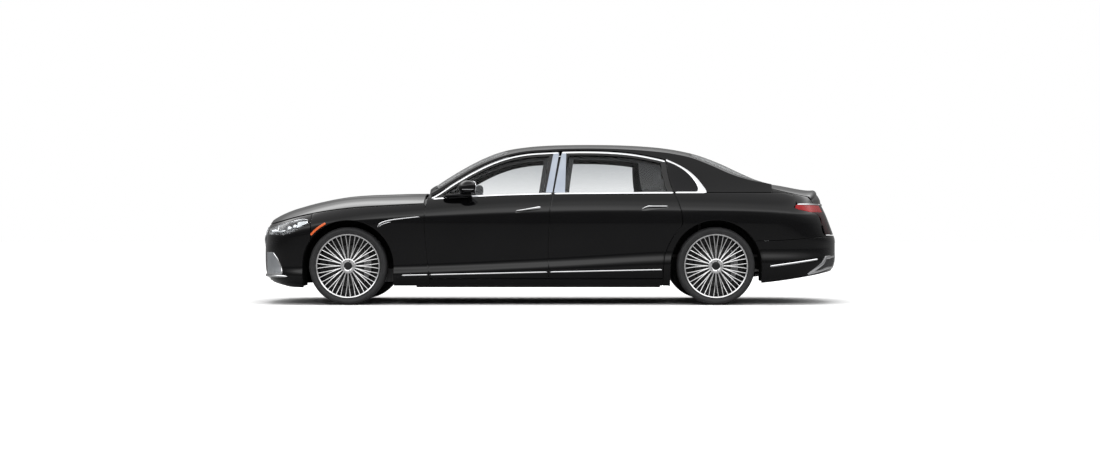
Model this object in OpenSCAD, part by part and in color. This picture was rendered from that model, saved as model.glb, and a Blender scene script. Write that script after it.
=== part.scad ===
// Long-wheelbase luxury sedan: separate body panels, four hinged doors, bonnet, boot lid,
// steered front wheels and a hollow cabin. Millimetres, +X to the front, +Y to the left, +Z up,
// origin on the ground under the middle of the car.

/* [Overall size] */
// Length over the bumpers
overall_length = 5469; // [5200:1:5700]
// Width over the body sides, without the mirrors
body_width = 1921; // [1850:1:2000]
// Height of the roof above the ground
overall_height = 1510; // [1460:1:1560]
// Distance between the axles
wheelbase = 3396; // [3300:1:3500]
// Nose ahead of the front axle
front_overhang = 866; // [830:1:900]

/* [Wheels] */
// Outer radius of a tyre
tyre_radius = 360; // [345:1:366]
// Width of a tyre
tyre_width = 250; // [225:1:260]
// Radius of the rim at its outer lip
rim_radius = 288; // [270:1:300]
// Distance between the left and right wheel centres
track = 1626; // [1600:1:1640]
// Radius of a wheel arch in the body
arch_radius = 424; // [415:1:440]
// Number of spokes on a wheel
spoke_count = 36; // [24:2:44]
// Greatest steering angle, used for the arch liners
steering_lock = 33; // [20:1:36]

/* [Panels] */
// Thickness of a lower door
door_thickness = 70; // [50:1:85]
// Thickness of a window frame
frame_thickness = 38; // [28:1:44]
// Thickness of a fixed body panel
panel_thickness = 24; // [16:1:30]
// Gap between a moving panel and its neighbour
panel_gap = 10; // [8:1:12]
// Thickness of the glass
glass_thickness = 6; // [4:1:8]
// Lean of the side glass, sideways per unit of height
glass_lean = 0.6; // [0.5:0.01:0.68]

/* [Hidden] */
$fn = 64;
overrun = 1;
seat_gap = 0.4;

// Axle places and ends
half_length = overall_length / 2;
half_width = body_width / 2;
rear_overhang = overall_length - front_overhang - wheelbase;
front_axle_x = half_length - front_overhang;
rear_axle_x = front_axle_x - wheelbase;
hub_z = tyre_radius;
wheel_y = track / 2;

// A station is 0 at the nose, 1 at the front axle, 2 at the rear axle and 3 at the tail
function station_x(s) =
    s <= 1 ? half_length - s * front_overhang :
    s <= 2 ? front_axle_x - (s - 1) * wheelbase :
    rear_axle_x - (s - 2) * rear_overhang;
function line_of(shares, size) = [for (p = shares) [station_x(p[0]), p[1] * size]];

// Smooth curve through points whose first value falls along the list
function rise(pts, i) = (pts[i + 1][1] - pts[i][1]) / (pts[i + 1][0] - pts[i][0]);
function slope(pts, i) =
    i <= 0 ? rise(pts, 0) :
    i >= len(pts) - 1 ? rise(pts, len(pts) - 2) :
    let (before = pts[i][0] - pts[i - 1][0], after = pts[i + 1][0] - pts[i][0])
    (rise(pts, i - 1) * after + rise(pts, i) * before) / (before + after);
function span_of(pts, x, i = 0) =
    i >= len(pts) - 2 || x >= pts[i + 1][0] ? i : span_of(pts, x, i + 1);
function spline(pts, x) =
    let (i = span_of(pts, x), h = pts[i + 1][0] - pts[i][0],
        t = min(1, max(0, (x - pts[i][0]) / h)), u = t * t, w = u * t)
    (2 * w - 3 * u + 1) * pts[i][1] + (w - 2 * u + t) * h * slope(pts, i)
    + (3 * u - 2 * w) * pts[i + 1][1] + (w - u) * h * slope(pts, i + 1);
function mix(a, b, t) = a + (b - a) * t;
function along(pts, t) =
    let (n = len(pts) - 1, k = min(n - 1, floor(t * n))) mix(pts[k], pts[k + 1], t * n - k);

// Centre line and edge lines of the body: station, share of the overall height
bonnet_line_shares = [[0.052, 0.499], [0.075, 0.517], [0.14, 0.54], [0.28, 0.577], [0.49, 0.614],
    [0.71, 0.645], [0.93, 0.667], [1.04, 0.678], [1.1, 0.683], [1.16, 0.687], [1.205, 0.688]];
bonnet_edge_shares = [[0.052, 0.494], [0.11, 0.499], [0.225, 0.512], [0.39, 0.536], [0.58, 0.559],
    [0.79, 0.579], [1.005, 0.595], [1.11, 0.61], [1.22, 0.622]];
cabin_line_shares = [[1.19, 0.678], [1.206, 0.702], [1.262, 0.787], [1.318, 0.862], [1.374, 0.924],
    [1.42, 0.96], [1.486, 0.985], [1.542, 0.995], [1.6, 0.999], [1.66, 1], [1.747, 0.997], [1.803, 0.991],
    [1.86, 0.98], [1.915, 0.961], [1.96, 0.937], [2.077, 0.881], [2.234, 0.821], [2.39, 0.764],
    [2.455, 0.748]];
deck_line_shares = [[2.44, 0.751], [2.627, 0.734], [2.77, 0.717], [2.832, 0.706]];
belt_shares = [[1.2, 0.643], [1.285, 0.656], [1.344, 0.664], [1.403, 0.671], [1.491, 0.677],
    [1.556, 0.68], [1.7, 0.683], [1.845, 0.685], [2.1, 0.686], [2.4, 0.686]];
shoulder_shares = [[0.052, 0.494], [0.225, 0.512], [0.58, 0.559], [1.005, 0.595], [1.15, 0.625],
    [1.285, 0.652], [1.403, 0.67], [1.556, 0.68], [1.845, 0.685], [2.3, 0.688], [2.55, 0.682],
    [2.7, 0.668], [2.9, 0.64]];
window_top_shares = [[1.2, 0.64], [1.226, 0.66], [1.292, 0.754], [1.341, 0.819], [1.39, 0.873],
    [1.439, 0.911], [1.488, 0.932], [1.538, 0.94], [1.651, 0.947], [1.714, 0.943], [1.777, 0.93],
    [1.824, 0.911], [1.866, 0.888], [1.904, 0.853], [1.935, 0.805], [1.961, 0.762], [1.98, 0.71]];
rail_shares = [[1.2, 0.652], [1.226, 0.684], [1.292, 0.776], [1.341, 0.841], [1.39, 0.893],
    [1.439, 0.929], [1.488, 0.949], [1.538, 0.957], [1.651, 0.964], [1.714, 0.962], [1.777, 0.956],
    [1.824, 0.948], [1.889, 0.93], [1.938, 0.905], [1.991, 0.858], [2.124, 0.804], [2.273, 0.765],
    [2.377, 0.749], [2.455, 0.737]];
boot_edge_shares = [[2.44, 0.715], [2.55, 0.694], [2.68, 0.672], [2.832, 0.65]];
bonnet_line = line_of(bonnet_line_shares, overall_height);
bonnet_edge = line_of(bonnet_edge_shares, overall_height);
cabin_line = line_of(cabin_line_shares, overall_height);
deck_line = line_of(deck_line_shares, overall_height);
belt_line = line_of(belt_shares, overall_height);
shoulder_line = line_of(shoulder_shares, overall_height);
window_top = line_of(window_top_shares, overall_height);
rail_line = line_of(rail_shares, overall_height);
boot_edge = line_of(boot_edge_shares, overall_height);

// How far the nose and the tail stand back at each height
nose_shares = [[0.56, 0.12], [0.51, 0.06], [0.494, 0.05], [0.45, 0.018], [0.39, 0.006], [0.3, 0],
    [0.25, 0], [0.2, 0.01], [0.165, 0.035], [0.13, 0.1], [0.1, 0.27]];
tail_shares = [[0.712, 0.18], [0.69, 0.15], [0.649, 0.118], [0.624, 0.112], [0.549, 0.073],
    [0.424, 0.013], [0.405, 0.004], [0.36, 0], [0.31, 0], [0.28, 0.001], [0.205, 0.03], [0.15, 0.1],
        [0.1, 0.2]];
nose_curve = [for (p = nose_shares) [p[0] * overall_height, half_length - p[1] * front_overhang]];
tail_curve = [for (p = tail_shares) [p[0] * overall_height, -half_length + p[1] * rear_overhang]];

// Side section below the waist: share of the waist height, inset as a share of the half width
waist_z_share = 0.5;
waist_z = waist_z_share * overall_height;
shoulder_drop_share = 0.12;
shoulder_drop = shoulder_drop_share * overall_height;
shoulder_power = 2.6;
shoulder_inset_shares = [[0, 0.2], [0.5, 0.15], [1, 0.105], [1.2, 0.098], [1.9, 0.098], [2.4, 0.125], [3,
    0.16]];
shoulder_inset = line_of(shoulder_inset_shares, half_width);
section_shares = [[1, 0], [0.93, 0.003], [0.74, 0.014], [0.56, 0.032], [0.44, 0.027], [0.33, 0.045],
    [0.25, 0.08], [0.15, 0.12]];
section_curve = [for (p = section_shares) [p[0] * waist_z, p[1] * half_width]];
function section_y(x, z) =
    let (top = spline(shoulder_line, x), waist = min(waist_z, top - shoulder_drop),
        up = max(0, (z - waist) / (top - waist)))
    half_width - (z >= waist ? spline(shoulder_inset, x) * pow(up, shoulder_power)
        : spline(section_curve, z * waist_z / waist));

// Plan rounding of the nose and the tail
corner_power = 9;
nose_start_x = station_x(1.17);
tail_start_x = station_x(1.82);
function nose_x(z) = min(half_length, spline(nose_curve, z));
function tail_x(z) = max(-half_length, spline(tail_curve, z));
function end_share(x, z) =
    x > nose_start_x ? (x - nose_start_x) / (nose_x(z) - nose_start_x) :
    x < tail_start_x ? (x - tail_start_x) / (tail_x(z) - tail_start_x) : 0;
function side_y(x, z) =
    section_y(x, z) * sqrt(max(0, 1 - pow(min(1, end_share(x, z)), corner_power)));
// Place along the nose or tail where the side surface has come in to y, found by halving
halving_steps = 18;
function plan_x(y, z, wide, tip, n = halving_steps) =
    let (m = (wide + tip) / 2)
    n == 0 ? m : side_y(m, z) > y ? plan_x(y, z, m, tip, n - 1) : plan_x(y, z, wide, m, n - 1);
function nose_plan_x(y, z) = plan_x(abs(y), z, nose_start_x, nose_x(z));
function tail_plan_x(y, z) = plan_x(abs(y), z, tail_start_x, tail_x(z));

// Cabin sides and the roof surface over them
glass_step_share = 0.008;
glass_step = glass_step_share * half_width;
glass_bulge_share = 0.012;
glass_bulge = glass_bulge_share * half_width;
roof_power = 2.3;
bonnet_power = 2.8;
function belt_z(x) = spline(belt_line, x);
function cabin_y(x, z) =
    let (b = belt_z(x), t = min(1, max(0, (z - b) / (overall_height - b))))
    side_y(x, b) - glass_step - glass_lean * (z - b) + 4 * glass_bulge * t * (1 - t);
function body_y(x, z) = z > belt_z(x) ? cabin_y(x, z) : side_y(x, z);
function rail_z(x) = spline(rail_line, x);
function rail_y(x) = cabin_y(x, rail_z(x));
function crown(centre, edge, share, power) = centre - (centre - edge) * pow(abs(share), power);
function roof_z(x, y) = crown(spline(cabin_line, x), rail_z(x), y / rail_y(x), roof_power);
function bonnet_half(x) = side_y(x, spline(bonnet_edge, x));
function bonnet_z(x, y) = crown(spline(bonnet_line, x), spline(bonnet_edge, x),
    min(1, abs(y) / max(overrun, bonnet_half(x))), bonnet_power);
function deck_half(x) = side_y(x, spline(boot_edge, x));
function deck_z(x, y) = crown(spline(deck_line, x), spline(boot_edge, x), y / deck_half(x), bonnet_power);

// Closed shell from a grid of points: rows run front to rear, columns run so that rows cross columns outwards
function unit(v) = v / max(1e-9, norm(v));
function grid_normal(p, i, j) =
    let (n = len(p) - 1, m = len(p[0]) - 1)
    unit(cross(p[min(n, i + 1)][j] - p[max(0, i - 1)][j], p[i][min(m, j + 1)] - p[i][max(0, j - 1)]));
module shell(p, thickness, hole = function(i, j) false, thick = undef, level = function(i, j) false,
    inner_grid = undef,
        turned = false) {
    n = len(p);
    m = len(p[0]);
    inner = is_undef(inner_grid) ? [for (i = [0 : n - 1]) [for (j = [0 : m - 1])
        p[i][j] - (is_undef(thick) ? thickness : thick(i, j)) * (level(i, j) ? [0, 1, 0] : grid_normal(p,
            i, j))]] : inner_grid;
    points = concat([for (r = p) each r], [for (r = inner) each r]);
    solid = function(i, j) i >= 0 && j >= 0 && i < n - 1 && j < m - 1 && !hole(i, j);
    o = function(i, j) i * m + j;
    q = function(i, j) n * m + i * m + j;
    wall = function(a, b, c, d) turned ? [[a, c, d], [a, d, b]] : [[a, c, b], [b, c, d]];
    faces = [for (i = [0 : n - 2]) for (j = [0 : m - 2]) if (solid(i, j)) each concat(
        [[o(i, j), o(i + 1, j + 1), o(i + 1, j)], [o(i, j), o(i, j + 1), o(i + 1, j + 1)],
         [q(i, j), q(i + 1, j), q(i + 1, j + 1)], [q(i, j), q(i + 1, j + 1), q(i, j + 1)]],
        solid(i, j - 1) ? [] : wall(q(i, j), q(i + 1, j), o(i, j), o(i + 1, j)),
        solid(i, j + 1) ? [] : wall(o(i, j + 1), o(i + 1, j + 1), q(i, j + 1), q(i + 1, j + 1)),
        solid(i - 1, j) ? [] : wall(o(i, j), o(i, j + 1), q(i, j), q(i, j + 1)),
        solid(i + 1, j) ? [] : wall(q(i + 1, j), q(i + 1, j + 1), o(i + 1, j), o(i + 1, j + 1)))];
    polyhedron(points, faces, convexity = 10);
}
module both_sides() {
    children();
    mirror([0, 1, 0]) children();
}
module on_side(side) {
    if (side > 0) children();
    else mirror([0, 1, 0]) children();
}
paint = [0.05, 0.05, 0.055];
chrome = [0.8, 0.81, 0.83];
dark = [0.09, 0.09, 0.1];

// Door cut lines, as functions of height
door_bottom_share = 0.163;
door_bottom_z = door_bottom_share * overall_height;
front_door_front_shares = [[0.7, 1.218], [0.6, 1.21], [0.5, 1.208], [0.4, 1.21], [0.3, 1.214], [0.15,
    1.222]];
pillar_gap_shares = [[0.96, 1.582], [0.8, 1.568], [0.683, 1.558], [0.6, 1.551], [0.45, 1.546], [0.15,
    1.545]];
rear_door_rear_shares = [[0.96, 1.866], [0.85, 1.869], [0.7, 1.884], [0.64, 1.896], [0.56, 1.906], [0.49,
    1.907],
    [0.43, 1.887], [0.37, 1.872], [0.3, 1.861], [0.22, 1.857], [0.15, 1.856]];
function cut_line(shares) = [for (p = shares) [p[0] * overall_height, station_x(p[1])]];
front_door_front = cut_line(front_door_front_shares);
pillar_gap = cut_line(pillar_gap_shares);
rear_door_rear = cut_line(rear_door_rear_shares);
swing_lean_share = 0.028;
front_door_rear = [for (p = pillar_gap) [p[0], p[1] + swing_lean_share * max(0, p[0] - waist_z)]];
function window_top_z(x) = spline(window_top, x);
window_frame_share = 0.022;
window_frame = window_frame_share * overall_height;
belt_reveal = window_frame / 4;

// Door: lower panel rows, then window rows above the belt
lower_row_shares = [0, 0.07, 0.2, 0.36, 0.52, 0.68, 0.84, 1];
function door_columns(n) = [for (i = [0 : n]) i / n];
function door_point(front, rear, s, row, rows) =
    let (x0 = mix(spline(front, waist_z), spline(rear, waist_z), s),
        top0 = window_top_z(x0) - panel_gap / 2,
        lower = row < len(lower_row_shares),
        z0 = lower ? mix(door_bottom_z, belt_z(x0), lower_row_shares[row])
            : row == rows - 1 ? max(top0, belt_z(x0) + 2 * window_frame)
            : row == rows - 2 ? max(top0 - window_frame, belt_z(x0) + window_frame)
            : mix(belt_z(x0), max(top0 - window_frame, belt_z(x0) + window_frame), 0.5),
        x = mix(spline(front, z0) - panel_gap / 2, spline(rear, z0) + panel_gap / 2, s),
        top = window_top_z(x) - panel_gap / 2, b = belt_z(x),
        z = lower ? mix(door_bottom_z, b, lower_row_shares[row])
            : row == rows - 1 ? max(top, b + 2 * belt_reveal)
            : row == rows - 2 ? max(top - window_frame, b + belt_reveal)
            : mix(b, max(top - window_frame, b + belt_reveal), 0.5))
    [x, body_y(x, z), z];
door_rows = len(lower_row_shares) + 3;
function door_grid(front, rear, columns) =
    [for (s = columns) [for (r = [0 : door_rows - 1]) door_point(front, rear, s, r, door_rows)]];
front_columns_share = [0, 0.04, 0.12, 0.2, 0.3, 0.4, 0.5, 0.6, 0.7, 0.8, 0.87, 0.93, 1];
rear_columns_share = [0, 0.065, 0.13, 0.2, 0.3, 0.4, 0.5, 0.6, 0.7, 0.8, 0.88, 0.955, 1];
module door(front, rear, columns, first_open) {
    p = door_grid(front, rear, columns);
    belt_row = len(lower_row_shares) - 1;
    last = len(columns) - 2;
    color(paint) shell(p, door_thickness,
        hole = function(i, j) j >= belt_row && j < door_rows - 2 && i >= first_open && i < last,
        thick = function(i, j) j <= belt_row ? door_thickness : frame_thickness,
        level = function(i, j) true);
}
module door_front() {
    difference() {
        union() {
            door(front_door_front, front_door_rear, front_columns_share, 2);
            door_mirror();
        }
        door_pockets(front_hinge_x);
    }
}
module door_rear() {
    difference() {
        door(pillar_gap, rear_door_rear, rear_columns_share, 1);
        door_pockets(rear_hinge_x);
    }
}

// Hinges: a fixed arm carries a pin, and the door, bonnet or lid has a pocket for the arm and bores for the pin
pin_radius = 0.45 * panel_gap;
pin_reach = 1.1 * panel_gap;
arm_width = 0.8 * panel_gap;
arm_height = 2 * panel_gap;
pocket_half = 1.6 * panel_gap;
pocket_back = 1.1 * panel_gap;
hinge_set_back = 1.5 * panel_gap;
hinge_inset = 1.35 * panel_gap;
hinge_y = half_width - hinge_inset;
front_hinge_x = spline(front_door_front, waist_z) - hinge_set_back;
rear_hinge_x = spline(pillar_gap, waist_z) - hinge_set_back;
hinge_shares = [0.455, 0.53];
module door_pockets(x) {
    for (h = hinge_shares) translate([x, hinge_y, h * overall_height]) {
        translate([-pocket_back, -door_thickness - panel_gap, -pocket_half])
            cube([pocket_back + 3 * panel_gap, door_thickness + panel_gap + pin_radius + seat_gap,
                2 * pocket_half]);
        cylinder(r = pin_radius + seat_gap, h = 2 * (pocket_half + pin_reach + seat_gap), center = true);
    }
}
module door_pins(x, post_x, inner_y) {
    for (h = hinge_shares) translate([x, 0, h * overall_height]) {
        translate([0, hinge_y, 0]) cylinder(r = pin_radius, h = 2 * (pocket_half + pin_reach),
            center = true);
        translate([-arm_width / 2, inner_y, -arm_height / 2]) cube([arm_width, hinge_y - inner_y,
            arm_height]);
        translate([-arm_width / 2, inner_y, -arm_height / 2]) cube([post_x - x + arm_width, arm_height,
            arm_height]);
    }
}
// Pins of the bonnet and the lid lie along Y, one on each side
lid_hinge_y_share = 0.3;
lid_hinge_y = lid_hinge_y_share * half_width;
lid_hinge_back = 0.8 * panel_gap;
module lid_pockets(x, z, out) {
    for (s = [-1, 1]) translate([x, s * lid_hinge_y, z]) {
        translate([out > 0 ? -pocket_back : -3 * panel_gap, -pocket_half, -3 * panel_thickness])
            cube([pocket_back + 3 * panel_gap, 2 * pocket_half, 6 * panel_thickness]);
        rotate([90, 0, 0]) cylinder(r = pin_radius + seat_gap,
            h = 2 * (pocket_half + pin_reach + seat_gap), center = true);
    }
}
module lid_pins(x, z, base_x, base_z) {
    for (s = [-1, 1]) translate([0, s * lid_hinge_y, 0]) {
        translate([x, 0, z]) rotate([90, 0, 0]) cylinder(r = pin_radius,
            h = 2 * (pocket_half + pin_reach), center = true);
        translate([x - arm_width / 2, -arm_height / 2, base_z]) cube([arm_width, arm_height, z - base_z]);
        translate([x - arm_width / 2, -arm_height / 2, base_z]) cube([base_x - x + arm_width, arm_height,
            arm_height]);
    }
}

// Door glass: sits inside the frame, from below the belt to under the top frame
glass_seat = 2 * glass_thickness;
module door_glass(front, rear, columns, first_open) {
    last = len(columns) - 2;
    picks = [for (i = [first_open : last]) columns[i]];
    first = len(lower_row_shares) - 1;
    p = [for (s = picks) let (rows = [for (r = [first : first + 2]) door_point(front, rear, s, r,
        door_rows)],
            trim = (s == picks[0] ? -2 : s == picks[len(picks) - 1] ? 2 : 0) * seat_gap)
        [for (t = [0, 0.25, 0.5, 0.75, 1]) let (q = along(rows, t), x = q[0] + trim,
            z = q[2] + (t == 0 ? 2 : t == 1 ? -2 : 0) * seat_gap)
        [x, q[1] - glass_seat, z]]];
    color([0.2, 0.22, 0.24, 0.5]) shell(p, glass_thickness, level = function(i, j) true);
}
module glass_front() { door_glass(front_door_front, front_door_rear, front_columns_share, 2); }
module glass_rear() { door_glass(pillar_gap, rear_door_rear, rear_columns_share, 1); }

// Front fender: a fan of rows from the wheel arch to the bonnet edge and the door
sill_bottom_share = 0.118;
sill_bottom_z = sill_bottom_share * overall_height;
bumper_line_x = station_x(0.6);
function arch_point(axle_x, angle) = [axle_x + arch_radius * cos(angle), hub_z + arch_radius * sin(angle)];
bumper_arch_angle = acos(min(0.98, (bumper_line_x - front_axle_x - panel_gap) / arch_radius));
fender_arch = concat(
    [for (k = [0 : 14]) arch_point(front_axle_x, mix(bumper_arch_angle, 180, k / 14))],
    [for (k = [1 : 3]) [front_axle_x - arch_radius, mix(hub_z, sill_bottom_z, k / 3)]]);
fender_drop = 0.8 * panel_gap;
fender_top_x = [for (k = [0 : 9]) mix(bumper_line_x - panel_gap, spline(front_door_front,
    overall_height * 0.6) + panel_gap / 2, k / 9)];
fender_outer = concat(
    [for (x = fender_top_x) [x, spline(bonnet_edge, x) - fender_drop]],
    [for (k = [1 : 8]) let (z = mix(spline(bonnet_edge, fender_top_x[9]) - fender_drop, sill_bottom_z,
        k / 8))
        [spline(front_door_front, z) + panel_gap / 2, z]]);
function fan(inner, outer, steps) = [for (i = [0 : len(inner) - 1]) [for (j = [0 : steps])
    let (p = mix(inner[i], outer[i], j / steps)) [p[0], body_y(p[0], p[1]), p[1]]]];
module fender() {
    color(paint) union() {
        shell(fan(fender_arch, fender_outer, 5), panel_thickness);
        translate([bulkhead_x + overrun, bulkhead_half + seat_gap, fender_bracket_z])
            cube([floor_thickness - 2 * overrun, side_y(bulkhead_x,
                fender_bracket_z) - bulkhead_half - panel_thickness / 2, panel_thickness]);
    }
}
fender_bracket_z = 0.575 * overall_height;

// Rear quarter panel: a fan from the arch and the bumper line to the door, the belt and the boot lid
bumper_top_shares = [[2.25, 0.39], [2.4, 0.392], [2.6, 0.4], [2.8, 0.415], [2.97, 0.424]];
bumper_top = line_of(bumper_top_shares, overall_height);
bumper_join_angle = 180 - asin(min(0.98, (bumper_top[0][1] - hub_z) / arch_radius));
lamp_front_shares = [[2.66, 0.655], [2.6, 0.615], [2.62, 0.595], [2.75, 0.565], [2.82, 0.53], [2.86,
    0.487], [2.87, 0.46]];
quarter_tail_shares = [0.25, 0.5, 0.7, 0.8, 0.87, 0.92, 0.96, 1];
quarter_arch = concat(
    [for (k = [0 : 2]) [rear_axle_x + arch_radius, mix(sill_bottom_z, hub_z, k / 3)]],
    [for (k = [0 : 12]) arch_point(rear_axle_x, mix(0, bumper_join_angle, k / 12))],
    [for (t = quarter_tail_shares) let (x = mix(rear_axle_x + arch_radius * cos(bumper_join_angle),
        station_x(2.87), t))
        [x, spline(bumper_top, x) + panel_gap / 2]]);
quarter_lamp = [for (p = lamp_front_shares) [station_x(p[0]), p[1] * overall_height]];
quarter_edge_shares = [0, 0.071, 0.141, 0.212, 0.329, 0.445, 0.544, 0.636, 0.731, 0.865, 1];
quarter_outer = concat(
    [for (t = quarter_edge_shares) let (z = mix(sill_bottom_z, belt_z(rear_axle_x), t))
        [spline(rear_door_rear, z) - panel_gap / 2, z]],
    [for (k = [1 : 5]) let (x = mix(spline(rear_door_rear, belt_z(rear_axle_x)) - panel_gap / 2,
        station_x(2.62), k / 5))
        [x, min(belt_z(x), spline(boot_edge, x) - 1.8 * panel_gap)]],
    [for (k = [0 : 7]) along(quarter_lamp, k / 7)]);
module quarter() {
    color(paint) union() {
        shell(fan(quarter_arch, quarter_outer, 5), panel_thickness);
        translate([rear_axle_x - 4 * panel_thickness, shelf_half + seat_gap, shelf_z])
            cube([4 * panel_thickness, side_y(rear_axle_x, shelf_z) - shelf_half - 0.7 * panel_thickness,
                panel_thickness]);
    }
}

// Upper side frame: windscreen pillar, roof rail and the rear pillar with its small window
screen_stations_share = [1.24, 1.27, 1.31, 1.36, 1.4, 1.435];
roof_stations_share = [1.46, 1.52, 1.58, 1.65, 1.72, 1.78, 1.82, 1.876, 1.902, 1.918, 1.938];
rear_stations_share = [1.965, 2, 2.08, 2.18, 2.28, 2.38, 2.436];
frame_stations_share = concat(screen_stations_share, roof_stations_share, rear_stations_share);
frame_turn_share = 1.89;
rail_width_share = 0.045;
rail_width = rail_width_share * body_width;
quarter_window_first = 14;
quarter_window_last = 18;
function frame_bottom_z(x) = x < station_x(frame_turn_share) ? belt_z(x) + panel_gap : window_top_z(x)
    + 1.1 * panel_gap;
function frame_row(s) =
    let (x = station_x(s), low = frame_bottom_z(x), high = rail_z(x),
        top = s < frame_turn_share ? mix(low, high, 0.75) : max(low + window_frame, min(window_top_z(x),
            high - window_frame)),
        y_top = max(rail_y(x) - rail_width, 0.5 * rail_y(x)))
    [for (t = [0, 0.12, 0.5, 1]) let (z = mix(low, top, t)) [x, cabin_y(x, z), z],
     [x, rail_y(x), high], [x, mix(rail_y(x), y_top, 0.5), roof_z(x, mix(rail_y(x), y_top, 0.5))], [x,
         y_top, roof_z(x, y_top)]];
module side_frame() {
    color(paint) shell([for (s = frame_stations_share) [for (t = frame_row(s)) t]], panel_thickness,
        hole = function(i, j) i >= quarter_window_first && i < quarter_window_last && j >= 1 && j < 3,
        level = function(i, j) j <= 3);
}

// Path round the nose or the tail at one height: across the front first, then back along the side
turn_share = 0.72;
turn_y_share = 0.8;
function nose_path(f, z, end_x) =
    let (a = abs(f), turn_y = turn_y_share * section_y(front_axle_x, z) * min(1, section_y(half_length,
        z) / section_y(front_axle_x, z)),
        y = a < turn_share ? turn_y * a / turn_share : 0,
        x = a < turn_share ? nose_plan_x(y, z)
            : mix(nose_plan_x(turn_y, z), end_x, (a - turn_share) / (1 - turn_share)))
    [x, (f < 0 ? -1 : 1) * (a < turn_share ? y : side_y(x, z)), z];
function tail_path(f, z, end_x) =
    let (a = abs(f), turn_y = turn_y_share * min(section_y(rear_axle_x, z), section_y(-half_length, z)),
        y = a < turn_share ? turn_y * a / turn_share : 0,
        x = a < turn_share ? tail_plan_x(y, z)
            : mix(tail_plan_x(turn_y, z), end_x, (a - turn_share) / (1 - turn_share)))
    [x, (f < 0 ? -1 : 1) * (a < turn_share ? y : side_y(x, z)), z];

// Front bumper cover: holes for the grille and the headlamps
lamp_low_shares = [[0, 0.43], [0.2, 0.43], [0.3, 0.428], [0.4, 0.442], [0.51, 0.476], [0.6, 0.506]];
lamp_high_shares = [[0, 0.47], [0.15, 0.474], [0.22, 0.489], [0.4, 0.518], [0.51, 0.527], [0.6, 0.514]];
lamp_low = line_of(lamp_low_shares, overall_height);
lamp_high = line_of(lamp_high_shares, overall_height);
bumper_row_shares = [0.105, 0.135, 0.18, 0.25, 0.33, 0.39];
bumper_columns_share = [0, 0.12, 0.24, 0.34, 0.42, 0.5, 0.6, 0.72, 0.8, 0.86, 0.92, 0.96, 1];
grille_columns = 3;
lamp_first = 5;
lamp_last = 11;
lip_z_share = 0.5;
function arch_front_x(z) = front_axle_x + (z < hub_z ? arch_radius
    : sqrt(max(0, arch_radius * arch_radius - (z - hub_z) * (z - hub_z))));
function bumper_end_x(z) = max(bumper_line_x, arch_front_x(z));
function bumper_row_z(x, r) =
    let (n = len(bumper_row_shares))
    r < n ? bumper_row_shares[r] * overall_height :
    r == n ? spline(lamp_low, x) : r == n + 1 ? spline(lamp_high, x) : spline(bonnet_edge,
        x) - 1.2 * panel_gap;
function bumper_point(f, r) =
    let (x0 = nose_path(f, lip_z_share * overall_height, bumper_line_x)[0], z0 = bumper_row_z(x0, r),
        x1 = nose_path(f, z0, bumper_end_x(z0))[0], z1 = bumper_row_z(x1, r))
    nose_path(f, z1, bumper_end_x(z1));
bumper_rows = len(bumper_row_shares) + 3;
all_columns_share = concat([for (k = [len(bumper_columns_share) - 1 : -1 : 1]) -bumper_columns_share[k]],
    bumper_columns_share);
middle = len(bumper_columns_share) - 1;
bumper_grid = [for (f = all_columns_share) [for (r = [0 : bumper_rows - 1]) bumper_point(f, r)]];
module front_bumper() {
    p = bumper_grid;
    lamp_row = len(bumper_row_shares);
    near = function(i) i >= middle ? i - middle : middle - 1 - i;
    bracket_x = radiator_x + 2 * panel_thickness + seat_gap;
    color(paint) union() {
        shell(p, panel_thickness, hole = function(i, j)
            (j == lamp_row && near(i) >= lamp_first && near(i) < lamp_last)
            || (j >= 3 && j <= lamp_row && near(i) < grille_columns)
            || (j == 1 && near(i) < lamp_first));
        for (s = [-1, 1]) translate([bracket_x, s * front_rail_y - rail_half / 2,
            bumper_row_shares[4] * overall_height])
            cube([nose_plan_x(front_rail_y,
                bumper_row_shares[4] * overall_height) - bracket_x - panel_thickness / 2, rail_half,
                rail_half]);
    }
}
lamp_seat = 2.2 * seat_gap;
module headlamp(turned) {
    n = len(bumper_row_shares);
    columns = [for (k = [lamp_first : lamp_last]) middle + k];
    last = len(columns) - 1;
    skin = function(i, r, deep) bumper_grid[i][r] - deep * grid_normal(bumper_grid, i, r);
    side = function(i, k, r, deep) let (near = skin(i, r, deep),
        next = skin(columns[k == 0 ? 1 : last - 1], r, deep))
        k > 0 && k < last ? near : mix(near, next, lamp_seat / norm(next - near));
    layer = function(deep) [for (k = [0 : last]) let (a = side(columns[k], k, n, deep),
        b = side(columns[k], k, n + 1, deep),
        trim = lamp_seat / norm(b - a)) [for (t = [trim, 1 - trim]) mix(a, b, t)]];
    color([0.85, 0.87, 0.9]) shell(layer(0), panel_thickness, inner_grid = layer(panel_thickness),
        turned = turned);
}
grille_slats = 24;
grille_depth = 2 * panel_thickness;
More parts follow.
